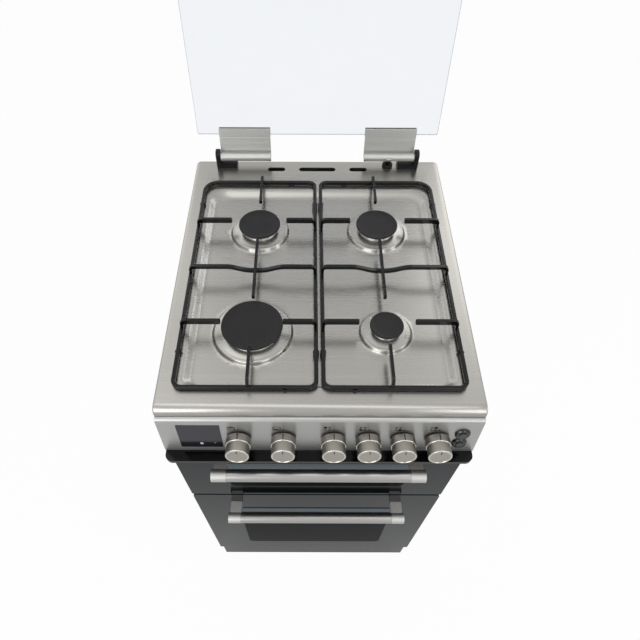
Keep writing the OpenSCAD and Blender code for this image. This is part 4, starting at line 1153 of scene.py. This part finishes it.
@dataclass
class Studio:
    """Floor, backdrop, lamps and the camera at the photograph's viewing angle.

    The lamps in front of the lid are hidden from its glass, where they would hide the pane.
    """

    focal_px: float = 520.9
    centre_px: Flat = (307.3, 368.0)
    picture_px: float = 640
    sensor_mm: float = 36.0
    clip: Flat = (0.05, 60.0)
    right_of_middle: float = -19.3 * MM
    front_of_rear: float = 954.3 * MM
    over_hob: float = 680.7 * MM
    pitch: float = 57.15
    roll: float = 0.189
    aim_height: float = 0.85
    surround: float = 0.5
    floor_half: float = 6.0
    floor_white: float = 0.95
    floor_mirrored: float = 0.3
    lamps: tuple[SoftBox, ...] = (
        SoftBox("soft_box_front_left", (-1.45, -2.7, 2.1), (1.7, 1.8), 32),
        SoftBox("soft_box_front_right", (1.35, -2.7, 2.1), (0.9, 1.8), 12),
        SoftBox("soft_box_right", (2.6, -1.0, 2.0), (0.8, 1.6), 10),
        SoftBox("soft_box_over", (-0.2, -0.3, 3.3), (3.0, 0.9), 12),
        SoftBox("soft_box_rear_left", (-1.4, 2.3, 2.5), (0.9, 1.9), 4, True),
        SoftBox("soft_box_rear_right", (1.4, 2.3, 2.5), (0.9, 1.9), 8, True),
    )

    def camera(self) -> None:
        """Makes the camera from the fitted view."""
        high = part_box("hob_top")[1]
        p, r = math.radians(self.pitch), math.radians(self.roll)
        ahead = Vector((0, math.cos(p), -math.sin(p)))
        up = Vector((0, math.sin(p), math.cos(p)))
        across = Vector((1, 0, 0))
        right = across * math.cos(r) + up * math.sin(r)
        above = up * math.cos(r) - across * math.sin(r)
        eye = Vector((self.right_of_middle, high.y - self.front_of_rear, high.z + self.over_hob))
        data = bpy.data.cameras.new("photo_camera")
        data.sensor_width = self.sensor_mm
        data.lens = self.focal_px / self.picture_px * self.sensor_mm
        data.shift_x = (self.picture_px / 2 - self.centre_px[0]) / self.picture_px
        data.shift_y = (self.centre_px[1] - self.picture_px / 2) / self.picture_px
        data.clip_start, data.clip_end = self.clip
        camera = placed("photo_camera", data, turned(eye, right, above, -ahead))
        bpy.context.scene.camera = camera

    def whitened(
        self, tree: Tree, lit: Node, output: str, most: float, mirrored: float
    ) -> None:
        """Shows plain white in place of a lit surface to the camera, metal and clear glass.

        Args:
            tree: the node tree to add to.
            lit: the shader of the lit surface.
            output: the kind of the output node.
            most: the share of white for the camera and for clear glass.
            mirrored: the share for what shows in metal and on glass.
        """
        path = add(tree, "LightPath").outputs
        eye = combine(tree, "MAXIMUM", path["Is Camera Ray"], path["Is Transmission Ray"])
        seen = combine(tree, "MULTIPLY", eye, most)
        mirror = combine(tree, "MULTIPLY", path["Is Glossy Ray"], mirrored)
        share = combine(tree, "MAXIMUM", seen, mirror)
        kind = "Background" if output == "OutputWorld" else "Emission"
        white = add(tree, kind, {"Color": (1, 1, 1, 1), "Strength": 1.0})
        mixed = add(tree, "MixShader", links={0: share, 1: lit.outputs[0], 2: white.outputs[0]})
        add(tree, output, links={"Surface": mixed.outputs[0]})

    def world(self) -> None:
        """A plain soft surround, white where it is seen."""
        world = bpy.data.worlds.new("studio")
        tree = fresh_tree(world)
        lit = add(tree, "Background", {"Color": (1, 1, 1, 1), "Strength": self.surround})
        self.whitened(tree, lit, "OutputWorld", 1.0, 1.0)
        bpy.context.scene.world = world

    def floor(self) -> None:
        """A wide white floor that keeps the cooker's shadow."""
        h = self.floor_half
        mesh = bpy.data.meshes.new("studio_floor")
        mesh.from_pydata([(-h, -h, 0), (h, -h, 0), (h, h, 0), (-h, h, 0)], [], [(0, 1, 2, 3)])
        paper = bpy.data.materials.new("seamless_paper")
        tree = fresh_tree(paper)
        matt = add(tree, "BsdfDiffuse", {"Color": linear("#F6F6F5")})
        self.whitened(tree, matt, "OutputMaterial", self.floor_white, self.floor_mirrored)
        mesh.materials.append(paper)
        placed("studio_floor", mesh)

    def lamp(self, box: SoftBox) -> None:
        """Hangs one soft box that faces the cooker.

        Args:
            box: the lamp's place, size and power.
        """
        data = bpy.data.lights.new(box.name, "AREA")
        data.shape = "RECTANGLE"
        data.size, data.size_y = box.size
        data.energy = box.watts
        aim = (Vector((0, 0, self.aim_height)) - Vector(box.place)).to_track_quat("-Z", "Y")
        turn = Matrix.Translation(box.place) @ aim.to_matrix().to_4x4()
        placed(box.name, data, turn).visible_transmission = box.through

    def build(self) -> None:
        """Sets up the whole studio."""
        self.camera()
        self.world()
        self.floor()
        for box in self.lamps:
            self.lamp(box)
        bpy.context.scene.view_settings.view_transform = "Standard"


@dataclass
class Screw:
    """A pan-head screw with a cross recess.

    The shoulder and the crest are shares of its height, where the dome starts and ends. The land
    round the cross and the cross's floor are shares of its reach, its waist one of its slot.
    """

    head: float = 4 * MM
    tall: float = 2.2 * MM
    slot: float = 0.7 * MM
    reach: float = 2.2 * MM
    sides: int = 32
    shoulder: float = 0.25
    crest: float = 0.96
    land: float = 1.15
    floor: float = 0.7
    waist: float = 1.1
    arm: float = 0.3

    def shape(self) -> Mesh:
        """The domed head with the cross sunk in it.

        Returns:
            The points and faces.
        """
        low, top = self.tall * self.shoulder, self.tall * self.crest
        rise = self.tall - low
        profile = [(self.head, 0.0), (self.head, low)]
        profile += [(self.head * math.cos(a), low + rise * math.sin(a)) for a in quarter(6)[1:-2]]
        points, faces = revolve(profile + [(self.reach * self.land, top)], self.sides)
        rows = numbers(self.sides, 3, len(points) - self.sides)
        cross = self.cross()
        sunk = [(x * self.floor, y * self.floor) for x, y in cross]
        points += level(cross, top) + level(sunk, top - self.slot)
        return points, faces + skin(rows) + [tuple(rows[-1])]

    def cross(self) -> list[Flat]:
        """Outline of the cross, one point for each side of the dome.

        Returns:
            The outline.
        """
        out = []
        for i in range(self.sides):
            a = 2 * math.pi * i / self.sides
            near = min(a % (math.pi / 2), math.pi / 2 - a % (math.pi / 2))
            r = self.reach if near < self.arm else self.slot * self.waist
            out.append((r * math.cos(a), r * math.sin(a)))
        return out

    def row(self, name: str, places: list[Matrix], body: str = ROOT) -> None:
        """Sets one screw at each place, as one piece.

        Args:
            name: the piece's name.
            places: frames whose z points out of the sheet.
            body: the body that it rides on.
        """
        points, faces = self.shape()
        shapes = [([tuple(place @ Vector(p)) for p in points], faces) for place in places]
        piece_from(name, joined(shapes), PLATED, body, sharp=35)


@dataclass
class Burners:
    """Crowns, caps and electrodes of the four burners."""

    hob: Hob
    cap_thick: float = 3.5 * MM
    edge: float = 1.5 * MM
    rim_width: float = 2.7 * MM
    dish_start: float = 4.5 * MM
    dish: float = 0.6 * MM
    middle: float = 0.5

    def build(self) -> None:
        """Builds turned caps and dresses the cast parts."""
        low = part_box("burner_caps")[0]
        e, top, sunk = self.edge, self.cap_thick, self.cap_thick - self.dish
        for b in self.hob.burners:
            profile = [(0.0, 0.0), (b.cap - e, 0.0), *arc((b.cap - e, e), e, -90, 0, 4)[1:]]
            profile += arc((b.cap - e, top - e), e, 0, 90)
            profile += [(b.cap - self.rim_width, top), (b.cap - self.dish_start, sunk)]
            profile += [(b.cap * self.middle, sunk), (0.0, sunk)]
            place = Matrix.Translation((b.x, b.y, low.z))
            shape = revolve(profile, FINE)
            piece_from(b.name + "_cap", shape, CAP_ENAMEL, place=place)
        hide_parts("burner_caps")
        dress("burner_crowns", CROWN_METAL)
        dress("burner_cups", CROWN_METAL)
        dress("electrodes", CERAMIC)


@dataclass
class PanSupports:
    """The two enamelled grids and their rubber feet."""

    edge: float = 0.8 * MM

    def build(self) -> None:
        """Dresses the grids."""
        for side in ("left", "right"):
            dress("pan_support_" + side, BAR_ENAMEL, self.edge)
            dress("support_feet_" + side, RUBBER)


@dataclass
class Lid:
    """The glass lid with its brackets, blocks, pins and shut-off pin.

    Each rib of a bracket's leaf is given as shares of its width and of its depth.
    """

    lean: float = 10.0
    leaf: float = 102 * MM
    leaf_front: float = 9 * MM
    leaf_inset: float = 0.3 * MM
    ribs_low: float = 9 * MM
    ribs_high: float = 36.4 * MM
    rib: float = 2.4 * MM
    rib_deep: float = 0.14 * MM
    rib_shape: tuple = ((0.04, 0.0), (0.2, 0.8), (0.5, 1.0), (0.8, 0.8), (0.96, 0.0))
    proud: float = 0.05 * MM
    sunk: float = 0.2 * MM
    edge_on: float = 0.5

    def facing(self, side: str) -> None:
        """Runs the extrusion's fine ribs along one bracket's leaf.

        Args:
            side: left or right.
        """
        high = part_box("lid_brackets")[1]
        inner, outer = high.x - self.leaf + self.leaf_inset, high.x - self.leaf_inset
        ends = (inner, outer) if side == "right" else (-outer, -inner)
        front, count = self.leaf_front, round((self.ribs_high - self.ribs_low) / self.rib)
        line: list[Flat] = [(front + self.sunk, self.ribs_low)]
        for z in (self.ribs_low + i * self.rib for i in range(count)):
            for share, deep in self.rib_shape:
                line.append((front - self.proud - self.rib_deep * deep, z + self.rib * share))
        line.append((front + self.sunk, self.ribs_low + count * self.rib))
        shape = capped([[(x, y, z) for y, z in line] for x in ends])
        hinge = Matrix.Translation(joint("lid_hinge")[0])
        place = hinge @ Matrix.Rotation(-math.radians(self.lean), 4, "X")
        name = f"lid_bracket_ribs_{side}"
        piece = piece_from(name, shape, BRACKET_METAL, "lid", place, sharp=50)
        weld(piece, gap=0.001 * MM, sharp=50)

    def pane(self) -> None:
        """Gives the glass its clear faces and its ground, cooler edges."""
        glass = dress("lid_glass", LID_GLASS)
        glass.data.materials.append(GLASS_EDGE.material())
        across = Matrix.Rotation(-math.radians(self.lean), 3, "X") @ BACK
        for face in glass.data.polygons:
            if abs(face.normal.dot(across)) < self.edge_on:
                face.material_index = 1

    def build(self) -> None:
        """Dresses the lid."""
        self.pane()
        dress("lid_brackets", BRACKET_METAL, 0.3 * MM)
        self.facing("left")
        self.facing("right")
        dress("lid_hinge_blocks", BLACK_NYLON, 0.8 * MM)
        dress("lid_hinge_pins", PLATED)
        dress("plunger_collar", BLACK_NYLON, 0.4 * MM)
        dress("lid_plunger", BLACK_NYLON, 0.4 * MM)


@dataclass
class Knob:
    """A knob: a skirt with a pointer, a straight grip and a spun face.

    The face's dish is given as shares of its radius and of the step inside the rim.
    """

    bore: float = 6 * MM
    skirt: float = 19.75 * MM
    skirt_low: float = 3.3 * MM
    skirt_top: float = 17 * MM
    grip: float = 18.3 * MM
    top: float = 34.5 * MM
    edge: float = 1.2 * MM
    step: float = 0.5 * MM
    dish: tuple = ((0.5, 1.3), (0.0, 1.4))
    mark_sunk: Flat = (1.6, 0.7)
    mark_half: float = 0.7 * MM
    mark_inner: float = 11 * MM
    mark_outer: float = 2.64 * MM
    tick_half: float = 0.8 * MM
    tick_proud: float = 0.25 * MM
    tick_low: float = 1.5 * MM
    tick_high: float = 1.4 * MM

    def parts(self) -> tuple[tuple[str, list[Flat], Finish], ...]:
        """The turned parts from the panel outward, each with its radii and heights and its finish.

        Returns:
            The skirt, its bright ring, the straight grip, the bright rim and the dished face.
        """
        e, low, mid, top, step = self.edge, self.skirt_low, self.skirt_top, self.top, self.step
        shoulder, outer = (self.skirt, mid - e), self.grip - 2 * e
        inner = outer - step
        skirt = [(self.bore, low), (self.skirt - e, low)]
        skirt += arc((self.skirt - e, low + e), e, -90, 0, 4)[1:] + [shoulder]
        ring = [shoulder, *arc((self.skirt - e, mid - e), e, 0, 90, 5), (self.grip, mid)]
        rim = [*arc((self.grip - e, top - e), e, 0, 90), (outer, top), (inner, top - step)]
        face = [(inner, top - step)] + [(inner * r, top - step * deep) for r, deep in self.dish]
        return (
            ("skirt", skirt, KNOB_METAL),
            ("ring", ring, KNOB_RIM),
            ("grip", [(self.grip, mid), (self.grip, top - e)], KNOB_METAL),
            ("rim", rim, KNOB_RIM),
            ("face", face, KNOB_FACE),
        )

    def build(self, number: int) -> None:
        """Builds one knob on the frame of its tap's joint.

        Args:
            number: the knob's number from the left.
        """
        place = upright(*joint(f"tap_{number}_turn"))
        body = f"knob_{number}"
        for part, profile, finish in self.parts():
            stands = (body,) if part == "skirt" else ()
            shape = revolve(profile, FINE)
            piece = piece_from(f"{body}_{part}", shape, finish, body, place, stands, 28)
        mark = slab(
            (-self.mark_half, self.mark_half),
            (self.grip - self.mark_inner, self.grip - self.mark_outer - self.step),
            tuple(self.top - self.step * deep for deep in self.mark_sunk),
            0.5 * MM,
            0.1 * MM,
        )
        piece_from(f"{body}_face_mark", mark, PRINT, body, place)
        tick = slab(
            (-self.tick_half, self.tick_half),
            (self.skirt - self.edge, self.skirt + self.tick_proud),
            (self.skirt_low + self.tick_low, self.skirt_top - self.tick_high),
            0.3 * MM,
            0.15 * MM,
        )
        piece_from(f"{body}_skirt_mark", tick, PRINT, body, place)
        dress(f"spindle_{number}", BRASS)


@dataclass
class Panel:
    """Control panel, timer, push buttons and the printed marks."""

    knob_down: float = 47.8 * MM
    mark_down: float = 21.8 * MM
    mark_left: float = 10 * MM
    line_down: float = 25.3 * MM
    ink: float = 0.04 * MM
    pen: float = 1.2 * MM
    dot: float = 2.1 * MM
    filled_dot: float = 1.35
    pitch: float = 6.2 * MM
    oven_half: Flat = (6 * MM, 4.6 * MM)
    oven_lines: Flat = (0.35, -0.55)
    burner_marks: tuple = (1, 0, 3, 2)
    timer_foot: float = 74 * MM
    timer_edge: float = 0.4 * MM
    timer_front: float = 0.8 * MM
    strip: float = 13 * MM
    strip_proud: float = 0.05 * MM
    key_dot: Flat = (0.5 * MM, 2.2 * MM)
    key_line: Flat = (20 * MM, 23 * MM)
    key_line_down: Flat = (1.4 * MM, 0.4 * MM)

    def __post_init__(self) -> None:
        """Reads the panel's own frame off the first tap's joint."""
        self.origin, self.out = joint("tap_1_turn")
        self.knobs = [joint(f"tap_{i}_turn")[0].x for i in range(1, 7)]

    def spot(self, x: float, down: float) -> Matrix:
        """Frame on the panel's face.

        Args:
            x: distance from the cooker's middle.
            down: distance down the face from its upper edge.

        Returns:
            The frame, its z outward.
        """
        up = self.out.cross(Vector((1, 0, 0)))
        place = Vector((x, self.origin.y, self.origin.z)) + up * (self.knob_down - down)
        return upright(place, self.out)

    def bar(self, x: Flat, y: Flat) -> Mesh:
        """A printed bar between two pairs of ends."""
        return slab(x, y, (0.0, self.ink), 0.1 * MM, self.ink / 4, 1)

    def disc(self, x: float, y: float, filled: bool) -> Mesh:
        """A printed dot, or a ring where it isn't filled.

        Args:
            x: its middle along the panel.
            y: its middle up the panel.
            filled: whether it is a dot.

        Returns:
            The points and faces.
        """
        outer = self.dot * (self.filled_dot if filled else 1.0)
        inner = 0.0 if filled else outer - self.pen
        ring = [(inner, 0.0), (outer, 0.0), (outer, self.ink), (inner, self.ink)]
        points, faces = revolve(ring, 24)
        return [(px + x, py + y, pz) for px, py, pz in points], faces

    def burner_mark(self, filled: int) -> list[Mesh]:
        """Four dots in a square, one for each burner, with its own filled.

        Args:
            filled: the number of the filled dot.

        Returns:
            The dots' meshes.
        """
        half = self.pitch / 2
        places = ((-half, -half), (-half, half), (half, half), (half, -half))
        return [self.disc(x, y, i == filled) for i, (x, y) in enumerate(places)]

    def oven_mark(self, upper: bool) -> list[Mesh]:
        """A box with a thick line at the oven it stands for.

        Args:
            upper: whether it stands for the upper oven.

        Returns:
            The bars' meshes.
        """
        (w, h), p = self.oven_half, self.pen
        line = h * self.oven_lines[0 if upper else 1]
        return [
            self.bar((-w, w), (h - p, h)),
            self.bar((-w, w), (-h, -h + p)),
            self.bar((-w, -w + p), (-h, h)),
            self.bar((w - p, w), (-h, h)),
            self.bar((-w + 2 * p, w - 2 * p), (line - p, line + p)),
        ]

    def marks(self) -> None:
        """Prints a mark beside each knob and a short line over it."""
        line = self.bar((-self.pen, self.pen), (-self.pen, self.pen))
        for number, x in enumerate(self.knobs, 1):
            if number < 3:
                shapes = self.oven_mark(number == 1)
            else:
                shapes = self.burner_mark(self.burner_marks[number - 3])
            place = self.spot(x - self.mark_left, self.mark_down)
            piece_from(f"panel_mark_{number}", joined(shapes), PRINT, place=place)
            piece_from(f"panel_line_{number}", line, PRINT, place=self.spot(x, self.line_down))

    def timer(self) -> None:
        """Lays the dark strip of touch keys along the timer's foot, with two pale symbols."""
        dress("timer_display", TIMER_GLASS, 0.2 * MM)
        low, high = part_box("timer_display")
        half, edge = (high.x - low.x) / 2, self.timer_edge
        lift = self.timer_front + self.strip_proud
        strip = slab(
            (-half + edge, half - edge),
            (edge, self.strip),
            (self.timer_front - 0.1 * MM, lift),
            (1.2 * MM, 1.2 * MM, 0.2 * MM, 0.2 * MM),
            0.02 * MM,
        )
        foot = self.spot((low.x + high.x) / 2, self.timer_foot)
        piece_from("timer_key_strip", strip, TIMER_STRIP, place=foot)
        dot = self.disc(self.key_dot[0], self.strip - self.key_dot[1], True)
        foot_y, head_y = (self.strip - down for down in self.key_line_down)
        line = self.bar(self.key_line, (foot_y, head_y))
        points, faces = joined([dot, line])
        keys = [(x, y, z + lift) for x, y, z in points], faces
        piece_from("timer_key_marks", keys, PALE_PRINT, place=foot)

    def build(self) -> None:
        """Dresses the panel and builds its small pieces."""
        dress("control_panel", PANEL_STEEL, 0.3 * MM)
        dress("button_bezels", BEZEL_ABS, 0.3 * MM)
        for name in ("ignition_button", "light_button"):
            dress(name, BUTTON_ABS, 0.5 * MM)
        self.timer()
        self.marks()
        for number in range(1, 7):
            Knob().build(number)
        dress("gas_taps", BRASS)
        dress("gas_rail", PLATED)


@dataclass
class Doors:
    """Both doors with their glass, smoked windows, frames and handles.

    Each window is given by its upper and lower edge, down from the glass's upper edge, and by
    where its paler band of painted light lies, down from its own.
    """

    window_half: float = 165 * MM
    window_radius: float = 12 * MM
    film: float = 0.06 * MM
    screw_in: float = 16 * MM
    # Half width, proudness and depth of each joint's dark ring of painted shadow.
    shadow_ring_half: float = 0.35 * MM
    shadow_ring_proud: float = 0.12 * MM
    shadow_ring_deep: float = 1 * MM
    windows: tuple = (
        ("upper", 50 * MM, 176 * MM, (14 * MM, 42 * MM)),
        ("lower", 77 * MM, 353 * MM, (7 * MM, 30 * MM)),
    )

    def window(self, door: str, top: float, foot: float, band: Flat) -> None:
        """Lays the smoked window on the door's black glass.

        Args:
            door: upper or lower.
            top: distance of its upper edge below the glass's own.
            foot: distance of its lower edge below the glass's upper edge.
            band: where the paler band of painted light lies, down from the window's upper edge.
        """
        low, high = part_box(door + "_door_glass")
        # Its colour carries the paler band of painted light.
        finish = Window(f"smoked_{door}_window", "#060708", band=band)
        half, film = self.window_half, self.film
        ends = ((-half, half), (top - foot, 0.0), (-film, film))
        shape = slab(*ends, self.window_radius, film / 3, 1)
        place = upright(Vector((0, low.y, high.z - top)), FRONT)
        piece = piece_from(door + "_door_window", shape, finish, f"{door}_door", place)

    def joint_shadows(self, door: str) -> None:
        """Puts a thin dark ring, painted shadow of the gap, between the handle's tube and each of
        its arms.

        Args:
            door: upper or lower.
        """
        low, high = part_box(door + "_handle_bar")
        radius = (high.z - low.z) / 2
        inner, outer = radius - self.shadow_ring_deep, radius + self.shadow_ring_proud
        half = self.shadow_ring_half
        # The dark ring is painted shadow of the hairline gap between tube and arm.
        ring = revolve([(inner, -half), (outer, -half), (outer, half), (inner, half)], COARSE)
        turn = Matrix.Rotation(math.pi / 2, 4, "Y")
        for side, x in (("left", low.x), ("right", high.x)):
            place = Matrix.Translation((x, (low.y + high.y) / 2, (low.z + high.z) / 2)) @ turn
            piece_from(f"{door}_handle_seam_{side}", ring, JOINT_SHADOW, f"{door}_door", place)

    def screws(self, door: str) -> None:
        """Sets the flat screws that hold the inner pane's frame, one in each corner.

        Args:
            door: upper or lower.
        """
        low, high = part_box(door + "_door_frame")
        inset = self.screw_in
        corners = [
            (x, z)
            for x in (low.x + inset, high.x - inset)
            for z in (low.z + inset, high.z - inset)
        ]
        places = [upright(Vector((x, high.y, z)), BACK) for x, z in corners]
        screw = Screw(head=3.5 * MM, tall=1.4 * MM, slot=0.5 * MM, reach=1.8 * MM)
        screw.row(door + "_door_screws", places, f"{door}_door")

    def build(self) -> None:
        """Dresses the doors."""
        for door, top, foot, band in self.windows:
            dress(door + "_door_glass", BLACK_GLASS, 0.8 * MM)
            self.window(door, top, foot, band)
            dress(door + "_door_frame", BLACK_PAINT, 0.5 * MM)
            dress(door + "_inner_glass", INNER_GLASS)
            dress(door + "_handle_bar", HANDLE_STEEL, 0.7 * MM)
            dress(door + "_handle_ends", ARM_METAL, 0.8 * MM)
            self.joint_shadows(door)
            self.screws(door)
        dress("door_hinge_brackets", PLATED)
        dress("door_seals", RUBBER)


@dataclass
class Shell:
    """Side, rear and base panels, plinth, feet, ledge and the insides of both ovens.

    The oven lamp's ring and glass are given as radius and height over the oven's rear wall.
    """

    edge: float = 9 * MM
    rear_low: float = 30 * MM
    rear_high: float = 60 * MM
    rear_rows: int = 5
    foot_in: float = 90 * MM
    foot_step: float = 110 * MM
    side_in: float = 30 * MM
    side_low: float = 16 * MM
    corner_screw: Flat = (14 * MM, 70 * MM)
    plate: Flat = (96 * MM, 54 * MM)
    plate_up: float = 560 * MM
    plate_thick: float = 0.6 * MM
    rivet_in: float = 5 * MM
    lamp_in: Flat = (75 * MM, 70 * MM)
    lamp_proud: float = 3 * MM
    lamp_ring: tuple = ((27, 0), (27, 3), (25, 5), (22, 5), (21, 3))
    lamp_dome: Flat = (21 * MM, 11 * MM)

    def rear_screws(self) -> None:
        """Sets screws down both edges of the rear panel and along its foot."""
        low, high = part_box("rear_panel")
        step = (high.z - low.z) / self.rear_rows
        spots = [
            (x, z)
            for z in spaced(low.z + self.rear_low, high.z - self.rear_high, step)
            for x in (low.x + self.edge, high.x - self.edge)
        ]
        foot = spaced(low.x + self.foot_in, high.x - self.foot_in, self.foot_step)
        spots += [(x, low.z + self.edge) for x in foot]
        places = [upright(Vector((x, high.y, z)), BACK) for x, z in spots]
        Screw().row("rear_screws", places)

    def side_screws(self) -> None:
        """Sets two screws at the foot of each side panel and one at its top rear corner."""
        places = []
        for node, side in (("side_panel_left", -1), ("side_panel_right", 1)):
            low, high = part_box(node)
            x = low.x if side < 0 else high.x
            foot = low.z + self.side_low
            spots = [(low.y + self.side_in, foot), (high.y - self.side_in, foot)]
            spots.append((high.y - self.corner_screw[0], high.z - self.corner_screw[1]))
            turn = (Vector((0, side, 0)), Vector((0, 0, 1)), Vector((side, 0, 0)))
            places += [turned(Vector((x, y, z)), *turn) for y, z in spots]
        Screw().row("side_screws", places)

    def rating_plate(self) -> None:
        """Rivets a bare data plate to the back, with nothing printed on it."""
        low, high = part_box("rear_panel")
        w, h = self.plate[0] / 2, self.plate[1] / 2
        thick, inset = self.plate_thick, self.rivet_in
        place = upright(Vector((0, high.y, low.z + self.plate_up)), BACK)
        shape = slab((-w, w), (-h, h), (0.0, thick), 3 * MM, 0.2 * MM)
        piece_from("data_plate", shape, PLATE_ALUMINIUM, place=place)
        corners = [(x, y) for x in (-w + inset, w - inset) for y in (-h + inset, h - inset)]
        rivets = [place @ Matrix.Translation((x, y, thick)) for x, y in corners]
        rivet = Screw(head=2.4 * MM, tall=1 * MM, slot=0.2 * MM, reach=0.7 * MM)
        rivet.row("data_plate_rivets", rivets)

    def lamp_cover(self) -> None:
        """Glazes the oven lamp's round cover in the lower oven's rear wall, upper right."""
        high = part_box("lower_cavity")[1]
        x, z = high.x - self.lamp_in[0], high.z - self.lamp_in[1]
        place = upright(Vector((x, high.y - self.lamp_proud, z)), FRONT)
        ring = [(radius * MM, height * MM) for radius, height in self.lamp_ring]
        piece_from("oven_lamp_ring", revolve(ring, COARSE), PLATED, place=place)
        radius, rise = self.lamp_dome
        dome = [(radius * math.cos(a), ring[-1][1] + rise * math.sin(a)) for a in quarter(10)]
        piece_from("oven_lamp_glass", revolve(dome, COARSE), LAMP_GLASS, place=place)

    def build(self) -> None:
        """Dresses the shell."""
        for name in ("side_panel_left", "side_panel_right"):
            dress(name, SIDE_PAINT, 0.4 * MM)
        for name in ("rear_panel", "base_tray", "flue_duct"):
            dress(name, GALVANISED)
        dress("plinth", BLACK_PAINT, 0.8 * MM)
        dress("levelling_feet", BLACK_NYLON, 0.4 * MM)
        dress("ledge", LEDGE_ENAMEL, 1.0 * MM)
        for name in ("front_frame", "upper_cavity", "lower_cavity", "grill_pan"):
            dress(name, LINER_ENAMEL)
        dress("oven_burners", PLATED)
        dress("oven_shelves", CHROME_WIRE)
        self.rear_screws()
        self.side_screws()
        self.rating_plate()
        self.lamp_cover()


def main() -> None:
    """Builds the studio and every sub-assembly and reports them."""
    logging.basicConfig(level=logging.INFO, format="%(name)s: %(message)s")
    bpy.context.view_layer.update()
    hob = Hob()
    for part in (Studio(), hob, Burners(hob), PanSupports(), Lid(), Panel(), Doors(), Shell()):
        part.build()
        LOG.info("%s: built", type(part).__name__)


if __name__ == "__main__":
    main()
